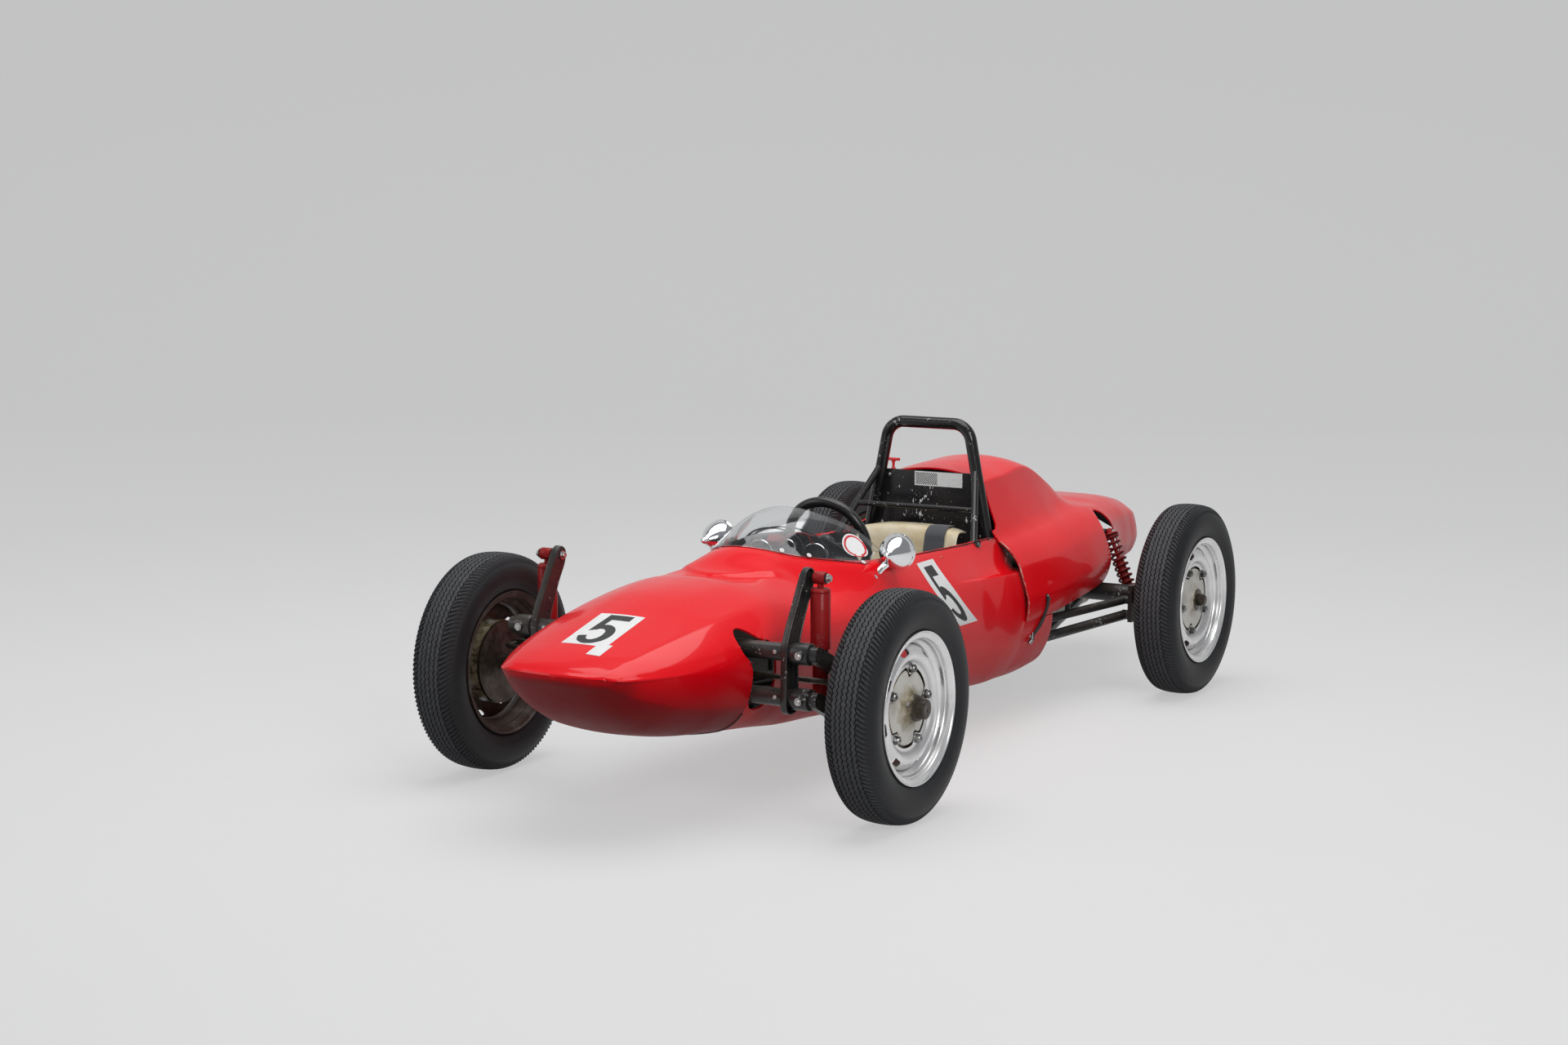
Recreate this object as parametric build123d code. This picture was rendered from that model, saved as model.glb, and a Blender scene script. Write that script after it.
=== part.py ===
"""Open-wheel single-seat racing car: twin-tube front beam, swing rear axle, glass-fibre body.

Lengths are millimetres, +Z is up, +X is the car's left and the nose points to -Y.
Stations (y) are measured back from the front axle. write() moves each piece so that
the origin lies on the ground at the middle of the car's length.
"""
import os
from math import atan2, cos, degrees, hypot, radians, sin

from build123d import *

os.makedirs("parts", exist_ok=True)

# ---- driving dimensions -------------------------------------------------------------
WHEELBASE = 2104.5
FRONT_TRACK = 1316.0
REAR_TRACK = 1261.0
TYRE_RADIUS = 313.7
TYRE_HALF_WIDTH = 72.5
FLANGE_RADIUS = 206.7
BEAD_SEAT_RADIUS = 190.5

NOSE_Y = -655.0
NOSE_SEAM_Y = -163.0
TUB_BACK_Y = 1446.0
TRAY_END_Y = 1750.0
TAIL_Y = 2800.0
FRONT_AXLE_Y = -(NOSE_Y + TAIL_Y) / 2

SHELL_WALL = 6.0
COVER_WALL = 5.0

BEAM_Y = -135.0
BEAM_UPPER_Z = 455.0
BEAM_LOWER_Z = 333.0
BEAM_TUBE_RADIUS = 24.0
BEAM_END_RADIUS = 30.0
BEAM_HALF_LENGTH = 470.0

ARM_THICKNESS = 22.0
ARM_DROP = 63.0
KINGPIN_X = 540.0
KINGPIN_RADIUS = 9.0
SPINDLE_RADIUS = 15.0
RUNNING_CLEARANCE = 0.05

SHOCK_X = 440.0
SHOCK_TOP = (-38.0, 645.0)
SHOCK_FOOT = (-34.0, 300.0)

TRACK_ROD_Y = -80.0
TRACK_ROD_Z = 375.0
TRACK_ROD_HALF = 488.0

STEERING_CENTRE = (0.0, 770.0, 600.0)
STEERING_RADIUS = 160.0
STEERING_TILT = 15.0

HOOP_Y = 1460.0
HOOP_TUBE_RADIUS = 19.0
PANEL_Y = HOOP_Y + HOOP_TUBE_RADIUS

# arm radius, front pivot y and z of the lower and the upper rear arm
ARM_PIVOTS = [(16, 1714, 192), (14, 1770, 250)]
BRACKET_X = 452.0
COIL_FOOT = (405.0, 2168.0, 325.0)
COIL_TOP = (310.0, 2212.0, 500.0)
COIL_EYE_HALF = 12.0
COIL_TURNS = 9

# ---- body sections ------------------------------------------------------------------
# y, keel z, bilge x, bilge z, chine x, chine z, shoulder x, shoulder z, rim x, rim z, crown z,
# bow of the edge from shoulder to rim
HULL = [
    (NOSE_Y, 430, 118, 431, 158, 435, 145, 439, 110, 440, 442, 0.04),
    (-630, 398, 130, 402, 184, 433, 162, 446, 120, 451, 455, 0.04),
    (-575, 338, 160, 352, 216, 433, 188, 459, 140, 471, 478, 0.04),
    (-470, 268, 190, 292, 262, 432, 226, 474, 150, 500, 508, 0.04),
    (-330, 226, 225, 260, 300, 432, 260, 490, 160, 533, 546, 0.04),
    (-175, 204, 250, 246, 308, 430, 275, 504, 165, 566, 588, 0.04),
    (0, 190, 245, 220, 318, 420, 285, 514, 175, 584, 606, 0.04),
    (150, 181, 225, 191, 326, 411, 294, 514, 185, 580, 604, 0.01),
    (290, 174, 232, 184, 332, 404, 300, 511, 162, 598, 656, -0.05),
    (430, 165, 236, 175, 336, 395, 304, 506, 206, 604, 660, -0.03),
    (566, 155, 240, 166, 340, 385, 308, 500, 258, 592, 645, 0.02),
    (900, 128, 245, 140, 346, 362, 314, 486, 255, 577, 640, 0.02),
    (1200, 105, 248, 118, 350, 334, 320, 474, 251, 570, 640, -0.03),
    (TUB_BACK_Y, 92, 248, 106, 352, 308, 326, 462, 249, 564, 640, -0.12),
]
# y, keel z, bilge x, bilge z, side x, side z
TRAY = [
    (TUB_BACK_Y, 92, 248, 106, 352, 304),
    (1600, 90, 247, 104, 351, 302),
    (TRAY_END_Y, 98, 242, 112, 346, 296),
]
# y, crown z, crease x, crease z, fold x, fold z, bulge x, bulge z, hem x, hem z
COVER = [
    (1450, 768, 185, 735, 250, 560, 348, 430, 356, 304),
    (1660, 783, 176, 744, 246, 572, 358, 430, 352, 307),
    (1870, 774, 156, 747, 230, 584, 354, 450, 350, 325),
    (2040, 692, 152, 680, 212, 592, 348, 468, 348, 345),
    (2200, 604, 150, 599, 222, 588, 328, 476, 322, 362),
    (2350, 598, 150, 594, 222, 574, 280, 470, 264, 374),
    (2550, 584, 130, 580, 192, 560, 242, 470, 226, 374),
    (2700, 556, 110, 550, 162, 530, 204, 474, 190, 390),
    (TAIL_Y, 500, 45, 498, 66, 492, 90, 470, 80, 432),
]

# ---- pieces kept until the end ------------------------------------------------------
NODES = {}


def keep(name, shape):
    """Record a finished piece under its node name."""
    NODES[name] = shape


def both_sides(name, shape):
    """Record a left-hand piece and its mirror image."""
    keep(name + "_left", shape)
    keep(name + "_right", shape.mirror(Plane.YZ))


# ---- geometry helpers ---------------------------------------------------------------
def bowed(start, end, ratio, y):
    """Edge at station y from start to end, each (x, z), bowed outward by ratio of its length."""
    (x0, z0), (x1, z1) = start, end
    middle = ((x0 + x1) / 2 + (z1 - z0) * ratio, y, (z0 + z1) / 2 - (x1 - x0) * ratio)
    return ThreePointArc((x0, y, z0), middle, (x1, y, z1))


def mirrored(points):
    """The same points on the car's right-hand side, in reverse order."""
    return [(-x, z) for x, z in reversed(points)]


def rod(start, end, radius):
    """Solid round bar between two points."""
    a = Vector(*start)
    b = Vector(*end)
    return Solid.make_cylinder(radius, (b - a).length, Plane(origin=a, z_dir=b - a))


def mitred_tube(points, radius):
    """Round bar through several points, its bends mitred."""
    start = Plane(origin=points[0], z_dir=Vector(*points[1]) - Vector(*points[0]))
    return sweep(start * Circle(radius), path=Polyline(*points), transition=Transition.RIGHT)


def disc(centre, axis, radius, length):
    """Cylinder that starts at centre and runs along axis."""
    return Solid.make_cylinder(radius, length, Plane(origin=Vector(*centre), z_dir=Vector(*axis)))


def block(x0, x1, y0, y1, z0, z1):
    """Rectangular block between two corners."""
    return Pos((x0 + x1) / 2, (y0 + y1) / 2, (z0 + z1) / 2) * Box(x1 - x0, y1 - y0, z1 - z0)


def side_plate(outline, x0, x1):
    """Plate whose outline is in (y, z), between two lateral positions."""
    face = Face(Wire.make_polygon([(x0, y, z) for y, z in outline], close=True))
    return Solid.extrude(face, Vector(x1 - x0, 0, 0))


def cross_plate(outline, y0, y1):
    """Plate whose outline is in (x, z), between two stations."""
    face = Face(Wire.make_polygon([(x, y0, z) for x, z in outline], close=True))
    return Solid.extrude(face, Vector(0, y1 - y0, 0))


def turned(profile):
    """Body of revolution about the X axis from an outline in (x, radius)."""
    face = Face(Wire.make_polygon([(x, r, 0) for x, r in profile], close=True))
    return Solid.revolve(face, 360, Axis.X)


def fuse(first, *others):
    """Union of several solids as one shape."""
    return first.fuse(*others).clean() if others else first


# ---- bodywork -----------------------------------------------------------------------
def hull_wire(row, wall):
    """Closed hull section; wall moves every point inward for the inner surface."""
    y, keel, bx, bz, cx, cz, sx, sz, rx, rz, crown, rim_bow = row
    middle = (keel + crown) / 2
    across = 1 - wall / cx
    upright = 1 - 2 * wall / (crown - keel)
    half = [(bx, bz), (cx, cz), (sx, sz), (rx, rz)]
    half = [(x * across, middle + (z - middle) * upright) for x, z in half]
    keel_z = middle + (keel - middle) * upright
    crown_z = middle + (crown - middle) * upright
    other = mirrored(half)
    edges = [ThreePointArc((-half[0][0], y, half[0][1]), (0, y, keel_z), (half[0][0], y, half[0][1]))]
    ratios = (0.09, 0.05, rim_bow)
    edges += [bowed(a, b, r, y) for a, b, r in zip(half, half[1:], ratios)]
    edges.append(ThreePointArc((rx * across, y, half[3][1]), (0, y, crown_z), (-rx * across, y, half[3][1])))
    edges += [bowed(a, b, r, y) for a, b, r in zip(other, other[1:], reversed(ratios))]
    return Wire(edges)


def hull_shell():
    """The nose and cockpit body as one hollow shell, before it is split."""
    outer = Solid.make_loft([hull_wire(row, 0) for row in HULL], ruled=True)
    inner_rows = [row for row in HULL if row[0] > -600]
    last = inner_rows[-1]
    inner_rows[-1] = (last[0] + 20,) + last[1:]
    inner = Solid.make_loft([hull_wire(row, SHELL_WALL) for row in inner_rows], ruled=True)
    return outer - inner


def cockpit_cutter():
    """Straight-sided cockpit opening with a rounded front, cut down through the deck."""
    half_width = 246
    front_reach = 258
    centre_y = 566
    plan = Plane.XY.offset(505)
    front = plan * Pos(0, centre_y) * Ellipse(half_width, front_reach)
    back_length = TUB_BACK_Y + 10 - centre_y
    back = plan * Pos(0, centre_y + back_length / 2) * Rectangle(2 * half_width, back_length)
    return extrude(front + back, 300)


def beam_cutter():
    """Opening through both body sides for the front beam, with its raised front lobe."""
    outline = [(-162, 290), (-165, 400), (-182, 440), (-194, 474), (-190, 498), (-170, 508)]
    outline += [(-148, 500), (-112, 478), (-58, 470), (-52, 430), (-52, 290)]
    return side_plate(outline, -400, 400)


def tray():
    """Open-topped undertray behind the cockpit, its tail edge raked forward to the top."""
    def wire(row, wall, top):
        y, keel, bx, bz, sx, sz = row
        half = [(bx - 0.7 * wall, bz + wall), (sx - wall, sz + top)]
        bottom_arc = ThreePointArc((-half[0][0], y, half[0][1]), (0, y, keel + wall), (half[0][0], y, half[0][1]))
        other = mirrored(half)
        side = bowed(half[0], half[1], 0.06, y)
        lid = Line((half[1][0], y, half[1][1]), (-half[1][0], y, half[1][1]))
        far_side = bowed(other[0], other[1], 0.06, y)
        return Wire([bottom_arc, side, lid, far_side])
    outer = Solid.make_loft([wire(row, 0, 0) for row in TRAY], ruled=True)
    inner_rows = [(row[0] + step,) + row[1:] for row, step in zip(TRAY, (-20, 0, 20))]
    inner = Solid.make_loft([wire(row, SHELL_WALL, 20) for row in inner_rows], ruled=True)
    rake = side_plate([(1655, 330), (1800, 330), (1800, 80), (1752, 80)], -400, 400)
    return outer - inner - rake


def build_body():
    """Nose cowl and cockpit tub."""
    shell = hull_shell() - beam_cutter()
    nose_part = block(-400, 400, NOSE_Y - 10, NOSE_SEAM_Y, 0, 900)
    tub_part = block(-400, 400, NOSE_SEAM_Y, TUB_BACK_Y + 1, 0, 900)
    keep("nose_cowl", (shell & nose_part))
    tub = (shell & tub_part) - cockpit_cutter()
    keep("cockpit_tub", tub + tray())


def cover_wire(row, wall):
    """Closed section of the engine cover; the inner one drops below the hem."""
    y, crown, ax, az, fx, fz, mx, mz, hx, hz = row
    half = [(hx - wall, hz - 4 * wall), (mx - wall, mz), (fx - wall / 2, fz - wall), (ax - wall, az - wall)]
    other = mirrored(half)
    ratios = (0.10, 0.12, -0.03)
    edges = [Line((-half[0][0], y, half[0][1]), (half[0][0], y, half[0][1]))]
    edges += [bowed(a, b, r, y) for a, b, r in zip(half, half[1:], ratios)]
    edges.append(ThreePointArc((half[3][0], y, half[3][1]), (0, y, crown - wall), (-half[3][0], y, half[3][1])))
    edges += [bowed(a, b, r, y) for a, b, r in zip(other, other[1:], reversed(ratios))]
    return Wire(edges)


def build_engine_cover():
    """Humped engine cover with spring slots in its sides and a rounded tail."""
    outer = Solid.make_loft([cover_wire(row, 0) for row in COVER], ruled=True)
    inner_rows = list(COVER)
    inner_rows[0] = (COVER[0][0] - 5,) + COVER[0][1:]
    inner_rows[-1] = (TAIL_Y - 2 * COVER_WALL,) + COVER[-1][1:]
    inner = Solid.make_loft([cover_wire(row, COVER_WALL) for row in inner_rows], ruled=True)
    slot = [(2112, 578), (2132, 525), (2143, 452), (2141, 399), (2097, 359), (2040, 300)]
    slot += [(2480, 300), (2440, 400), (2380, 455), (2300, 500), (2220, 550), (2152, 580)]
    left_slot = side_plate(slot, 200, 420)
    right_slot = side_plate(slot, -420, -200)
    front = block(-400, 400, 1400, PANEL_Y + 8, 588, 900)
    keep("engine_cover", outer - inner - left_slot - right_slot - front)


def screen_ring(reach, width, y, z, rise):
    """One open section curve of the windscreen, as (x, y, z) start, middle and end."""
    return ThreePointArc((-width, y, z), (0, y - reach, z + rise), (width, y, z))


def build_windscreen():
    """Bubble windscreen: a thin curved shell from the deck to its free upper edge."""
    thickness = 3.0
    # reach forward, half width, y at the ends, z at the ends, rise at the centre
    rows = [(276, 256, 572, 594, 72), (196, 250, 590, 640, 72), (60, 238, 612, 650, 92)]
    outside = Face.make_surface_from_curves
    wires_out = [screen_ring(*row) for row in rows]
    wires_in = [screen_ring(r - thickness, w - thickness, y, z, rise - thickness) for r, w, y, z, rise in rows]
    solids = []
    for low, high, low_in, high_in in zip(wires_out, wires_out[1:], wires_in, wires_in[1:]):
        faces = [outside(low, high), outside(low_in, high_in), outside(low, low_in), outside(high, high_in)]
        for end in (0, 1):
            corners = [low @ end, high @ end, high_in @ end, low_in @ end]
            faces.append(Face.make_surface_from_curves(Edge.make_line(corners[0], corners[1]),
                                                       Edge.make_line(corners[3], corners[2])))
        solids.append(Solid(Shell(faces)))
    keep("windscreen", fuse(*solids))


def build_dash():
    """Instrument panel with an arched top, pierced for the steering column."""
    face_y = 560
    outline = [(-248, 500), (-262, 560), (-225, 610), (-130, 655), (0, 672), (130, 655), (225, 610)]
    outline += [(262, 560), (248, 500), (120, 480), (-120, 480)]
    panel = cross_plate(outline, face_y, face_y + 4)
    keep("dash_panel", panel - disc((0, face_y - 10, 544), (0, 1, 0), 18, 30))


def build_roll_bar():
    """Roll hoop with raked front braces and a cross tube between them."""
    legs = [(-215, HOOP_Y, 158), (-215, HOOP_Y, 540), (-165, HOOP_Y, 790), (-140, HOOP_Y, 918)]
    legs += [(-x, y, z) for x, y, z in reversed(legs)]
    path = FilletPolyline(*legs, radius=[60, 60, 62, 62, 60, 60])
    hoop = sweep(Plane(origin=legs[0], z_dir=(0, 0, 1)) * Circle(HOOP_TUBE_RADIUS), path=path)
    parts = []
    for side in (-1, 1):
        parts.append(rod((side * 170, HOOP_Y - 8, 770), (side * 241, 1300, 566), 11))
        parts.append(disc((side * 244, 1300, 556), (0, 0, 1), 20, 14))
    parts.append(rod((-208, 1369, 658), (208, 1369, 658), 9))
    keep("roll_bar", fuse(hoop, *parts) - NODES["cockpit_tub"])


def build_firewall():
    """Sheet behind the hoop that closes the cockpit off from the engine."""
    half = [(208, 158), (208, 556), (186, 651), (172, 760)]
    outline = half + mirrored(half)
    keep("firewall_panel", cross_plate(outline, PANEL_Y, PANEL_Y + 4))


def build_seat():
    """Reclined bucket seat shell and the belt across it."""
    wall = 6
    outside = [(860, 152), (1150, 130), (1235, 190), (1392, 572), (1386, 574)]
    inside = [(1228, 196), (1146, 136), (860, 158)]
    shell = side_plate(outside + inside, -190, 190)
    wing = [(860, 152), (1150, 130), (1235, 190), (1392, 572), (1330, 560), (1150, 300), (860, 230)]
    for x0 in (-190 - wall, 190):
        shell = shell + side_plate(wing, x0, x0 + wall)
    keep("seat", shell)
    strap = [(1380, 574), (1225, 196), (1145, 137), (1060, 144), (1060, 148), (1142, 142), (1220, 199), (1374, 574)]
    keep("seat_belt", side_plate(strap, 60, 130))


# ---- chassis ------------------------------------------------------------------------
RAIL_RADIUS = 13.0
POST_RADIUS = 11.0
POST_Y = BEAM_Y - BEAM_TUBE_RADIUS - POST_RADIUS


def build_frame():
    """Tubular frame: two rails, cross tubes, beam posts, arm pivots and the rear cradle."""
    front = (150, POST_Y, 248)
    knee = (215, 700, 192)
    waist = (226, TUB_BACK_Y, 140)
    back = (215, 1770, 150)
    cradle = (140, 2360, 232)
    rail = (front, knee, waist, back, cradle)
    parts = []
    for side in (-1, 1):
        points = [(side * x, y, z) for x, y, z in rail]
        parts.append(mitred_tube(points, RAIL_RADIUS))
        parts.append(rod((side * 150, POST_Y, 248), (side * 150, POST_Y, 480), POST_RADIUS))
        parts.append(block(side * 221 - 25, side * 221 + 25, HOOP_Y - 22, HOOP_Y + 18, 148, 158))
        for _, pivot_y, pivot_z in ARM_PIVOTS:
            parts.append(rod((side * 215, pivot_y, 150), (side * 215, pivot_y, pivot_z), 11))
            parts.append(rod((side * 204, pivot_y, pivot_z), (side * 230, pivot_y, pivot_z), 15))
        parts.append(rod((side * 159, COIL_TOP[1], 212), (side * 159, COIL_TOP[1], COIL_TOP[2]), 9))
    for x, y, z in (front, (198, 470, 207), (217, 820, 184), waist, back, cradle):
        parts.append(rod((-x, y, z), (x, y, z), 10))
    bar_end = COIL_TOP[0] - COIL_EYE_HALF
    parts.append(rod((-bar_end, *COIL_TOP[1:]), (bar_end, *COIL_TOP[1:]), 11))
    keep("chassis_frame", fuse(*parts))


def tower(x0):
    """Pressed shock tower: a kinked plate with a turned-out edge, inner face at x0."""
    outline = [(-166, 300), (-166, 478), (-66, 660), (-48, 676), (-26, 674), (-14, 652), (-98, 460), (-100, 300)]
    web = 4
    depth = 20
    plate = side_plate(outline, x0, x0 + depth)
    rim = Plane.YZ.offset(x0 + web) * offset(Polygon(*outline, align=None), -web)
    return plate - extrude(rim, depth)


def build_front_beam():
    """Two torsion tubes with end bosses and the shock towers welded across them."""
    parts = []
    for z in (BEAM_UPPER_Z, BEAM_LOWER_Z):
        half = BEAM_HALF_LENGTH
        parts.append(rod((-half, BEAM_Y, z), (half, BEAM_Y, z), BEAM_TUBE_RADIUS))
        for side in (-1, 1):
            parts.append(rod((side * 418, BEAM_Y, z), (side * half, BEAM_Y, z), BEAM_END_RADIUS))
            parts.append(rod((side * 448, BEAM_Y - 28, z), (side * 448, BEAM_Y - 37, z), 11))
    left = tower(390)
    parts += [left, left.mirror(Plane.YZ)]
    bolt = rod((392, *SHOCK_TOP), (463, *SHOCK_TOP), 6)
    parts += [bolt, bolt.mirror(Plane.YZ)]
    keep("front_beam", fuse(*parts))


def build_front_shock():
    """Telescopic damper with a wide upper cover over a narrower body."""
    top = (SHOCK_X, *SHOCK_TOP)
    foot = (SHOCK_X, *SHOCK_FOOT)
    eye_half = 17
    axis = Vector(*foot) - Vector(*top)
    def along(distance):
        return tuple(Vector(*top) + axis.normalized() * distance)
    body = fuse(
        disc((SHOCK_X - eye_half, *SHOCK_TOP), (1, 0, 0), 17, 2 * eye_half),
        rod(top, along(40), 8),
        rod(along(28), along(190), 27),
        rod(along(180), along(322), 21.5),
        rod(along(300), foot, 9),
        disc((SHOCK_X - eye_half, *SHOCK_FOOT), (1, 0, 0), 14, 2 * eye_half),
    )
    body = body - disc((SHOCK_X - 30, *SHOCK_TOP), (1, 0, 0), 6.05, 60)
    both_sides("front_shock", body)


def arm_link(z):
    """One trailing arm from a beam tube back to its link pin, eyes at both ends."""
    length = hypot(BEAM_Y, ARM_DROP)
    slope = degrees(atan2(-ARM_DROP, -BEAM_Y))
    centre = (BEAM_HALF_LENGTH, BEAM_Y / 2, z - ARM_DROP / 2)
    place = Plane(origin=centre, x_dir=(0, 1, 0), z_dir=(1, 0, 0)) * Rot(0, 0, slope)
    return extrude(place * SlotCenterToCenter(length, 44), ARM_THICKNESS)


def build_front_arms():
    """Upper and lower trailing arms with the kingpin carrier that joins them."""
    outer_x = BEAM_HALF_LENGTH + ARM_THICKNESS
    upper_z = BEAM_UPPER_Z - ARM_DROP
    lower_z = BEAM_LOWER_Z - ARM_DROP
    carrier = block(500, 515, -15, 15, lower_z - 18, upper_z + 18)
    neck = block(514, KINGPIN_X, -11, 11, 295, 361)
    boss = disc((KINGPIN_X, 0, 293), (0, 0, 1), 17, 70)
    pins = [rod((outer_x - 2, 0, z), (502, 0, z), 10) for z in (upper_z, lower_z)]
    foot_pin = rod((SHOCK_X + 17, *SHOCK_FOOT), (BEAM_HALF_LENGTH + 2, *SHOCK_FOOT), 7)
    arms = fuse(arm_link(BEAM_UPPER_Z), arm_link(BEAM_LOWER_Z), carrier, neck, boss, foot_pin, *pins)
    bore = disc((KINGPIN_X, 0, 280), (0, 0, 1), KINGPIN_RADIUS + RUNNING_CLEARANCE, 100)
    both_sides("front_arms", arms - bore)


def build_knuckle():
    """Forked stub axle: ears on the kingpin, spindle, brake backplate and steering arm."""
    wheel_x = FRONT_TRACK / 2
    plate_x = wheel_x - 38
    ears = [disc((KINGPIN_X, 0, z), (0, 0, 1), 17, 18) for z in (270, 368)]
    ears += [block(KINGPIN_X, 574, -17, 17, z, z + 18) for z in (270, 368)]
    web = block(562, 574, -18, 18, 270, 386)
    pin = disc((KINGPIN_X, 0, 272), (0, 0, 1), KINGPIN_RADIUS, 112)
    hub_root = rod((570, 0, TYRE_RADIUS), (plate_x + 2, 0, TYRE_RADIUS), 24)
    spindle = rod((plate_x, 0, TYRE_RADIUS), (wheel_x + 44, 0, TYRE_RADIUS), SPINDLE_RADIUS)
    plate = rod((plate_x, 0, TYRE_RADIUS), (plate_x + 4, 0, TYRE_RADIUS), 118)
    tip = (510, TRACK_ROD_Y, TRACK_ROD_Z)
    elbow = (566, -52, TRACK_ROD_Z)
    arm = [rod((566, -10, TRACK_ROD_Z), elbow, 8), rod(elbow, tip, 8), Pos(*elbow) * Sphere(8)]
    arm.append(disc((tip[0], tip[1], tip[2] - 9), (0, 0, 1), 11, 18))
    both_sides("knuckle", fuse(web, *ears, pin, hub_root, spindle, plate, *arm))


def build_track_rod():
    """Transverse track rod with a ball end at each side."""
    ends = [Pos(side * TRACK_ROD_HALF, TRACK_ROD_Y, TRACK_ROD_Z) * Sphere(10) for side in (-1, 1)]
    bar = rod((-TRACK_ROD_HALF, TRACK_ROD_Y, TRACK_ROD_Z), (TRACK_ROD_HALF, TRACK_ROD_Y, TRACK_ROD_Z), 8)
    keep("track_rod", fuse(bar, *ends))


# ---- steering -----------------------------------------------------------------------
def column_point(distance):
    """Point on the steering axis, distance ahead of the wheel's centre."""
    x, y, z = STEERING_CENTRE
    tilt = radians(STEERING_TILT)
    return (x, y - distance * cos(tilt), z - distance * sin(tilt))


def build_steering():
    """Three-spoke steering wheel, its column and the steering box on the beam."""
    tilt = radians(STEERING_TILT)
    plane = Plane(origin=STEERING_CENTRE, x_dir=(1, 0, 0), z_dir=(0, cos(tilt), sin(tilt)))
    rim = plane * Torus(STEERING_RADIUS - 11, 11)
    hub = rod(column_point(-6), column_point(24), 24)
    spokes = []
    for angle in (90, 210, 330):
        reach = STEERING_RADIUS - 12
        spoke = Pos(reach / 2, 0, 0) * Box(reach, 26, 4)
        spokes.append(plane * Rot(0, 0, angle) * spoke)
    keep("steering_wheel", fuse(rim, hub, *spokes))
    column = rod(column_point(30), column_point(840), 10)
    box = block(-34, 34, -60, -20, 345, 440)
    bracket = block(-34, 34, -116, -20, 432, 440)
    keep("steering_column", fuse(column, box, bracket))


def build_controls():
    """Gear lever beside the driver and three pedals on one cross shaft."""
    knob = Pos(-204, 806, 452) * Sphere(19)
    keep("gear_lever", fuse(rod((-217, 830, 197.5), (-204, 806, 452), 7), knob))
    parts = [rod((-140, 110, 240), (140, 110, 240), 8)]
    for x in (-100, 0, 100):
        parts.append(rod((x, 110, 240), (x, 84, 360), 6))
        parts.append(block(x - 24, x + 24, 70, 78, 330, 400))
        parts.append(rod((x, 84, 356), (x, 74, 362), 6))
    keep("pedals", fuse(*parts))


# ---- wheels -------------------------------------------------------------------------
RIM_OUTSIDE = [(62, 206.7), (56, 205), (54, 190.5), (30, 188), (19, 172), (-19, 172)]
RIM_OUTSIDE += [(-30, 188), (-54, 190.5), (-56, 205), (-62, 206.7)]
RIM_INSIDE = [(-63.8, 204), (-59, 200), (-57, 187), (-32, 184.5), (-21, 168.5), (21, 168.5)]
RIM_INSIDE += [(32, 184.5), (57, 187), (59, 200), (63.8, 204)]
DISC_FACE = [(12, 169.5), (30, 163), (40, 150), (41, 136), (36, 124), (27, 118), (27, 94)]
DISC_BACK = [(23, 94), (23, 121), (32, 127), (37, 138), (36, 148), (27, 159.5), (8, 166), (8, 169.5)]
LUG_CIRCLE_RADIUS = 102.5
WHEEL_SLOTS = 8


def rim():
    """Pressed steel wheel: drop-centre rim, dished disc with edge slots and five lugs."""
    wheel = turned(RIM_OUTSIDE + RIM_INSIDE) + turned(DISC_FACE + DISC_BACK)
    for i in range(WHEEL_SLOTS):
        slot = Pos(24, 0, 158) * Box(40, 34, 11)
        wheel = wheel - Rot(i * 360 / WHEEL_SLOTS + 22.5, 0, 0) * slot
    lugs = []
    for i in range(5):
        lug = Pos(0, 0, LUG_CIRCLE_RADIUS) * disc((25, 0, 0), (1, 0, 0), 10, 14)
        lugs.append(Rot(i * 72, 0, 0) * lug)
    return wheel.fuse(*lugs)


def tyre():
    """Plain tyre ring in eight flat bands."""
    side = TYRE_HALF_WIDTH
    half = [(54, TYRE_RADIUS), (side, 268), (56, 207.5), (53.9, BEAD_SEAT_RADIUS)]
    return turned([(-x, r) for x, r in half] + half[::-1])


def drum(cap_x, cap_radius):
    """Brake drum and hub with a blind bore for the spindle."""
    outline = [(-29, 114), (-29, 120), (20, 120), (23, 116), (23, 60), (30, 44), (46, 34), (cap_x - 18, 32)]
    outline += [(cap_x - 16, cap_radius), (cap_x, cap_radius - 3), (cap_x, 0), (48, 0)]
    bore = SPINDLE_RADIUS + RUNNING_CLEARANCE
    outline += [(48, bore), (-20, bore), (-20, 38), (16, 50), (16, 110), (14, 114)]
    return turned(outline)


def build_wheels():
    """Four wheels, each a tyre, a rim and a drum."""
    # name, half track, station, cap end, cap radius
    rows = [("front", FRONT_TRACK / 2, 0.0, 84, 27), ("rear", REAR_TRACK / 2, WHEELBASE, 70, 20)]
    wheel_rim = rim()
    wheel_tyre = tyre()
    for name, x, y, cap_x, cap_radius in rows:
        place = Pos(x, y, TYRE_RADIUS)
        both_sides("tyre_" + name, place * wheel_tyre)
        both_sides("rim_" + name, place * wheel_rim)
        both_sides("drum_" + name, place * drum(cap_x, cap_radius))


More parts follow.
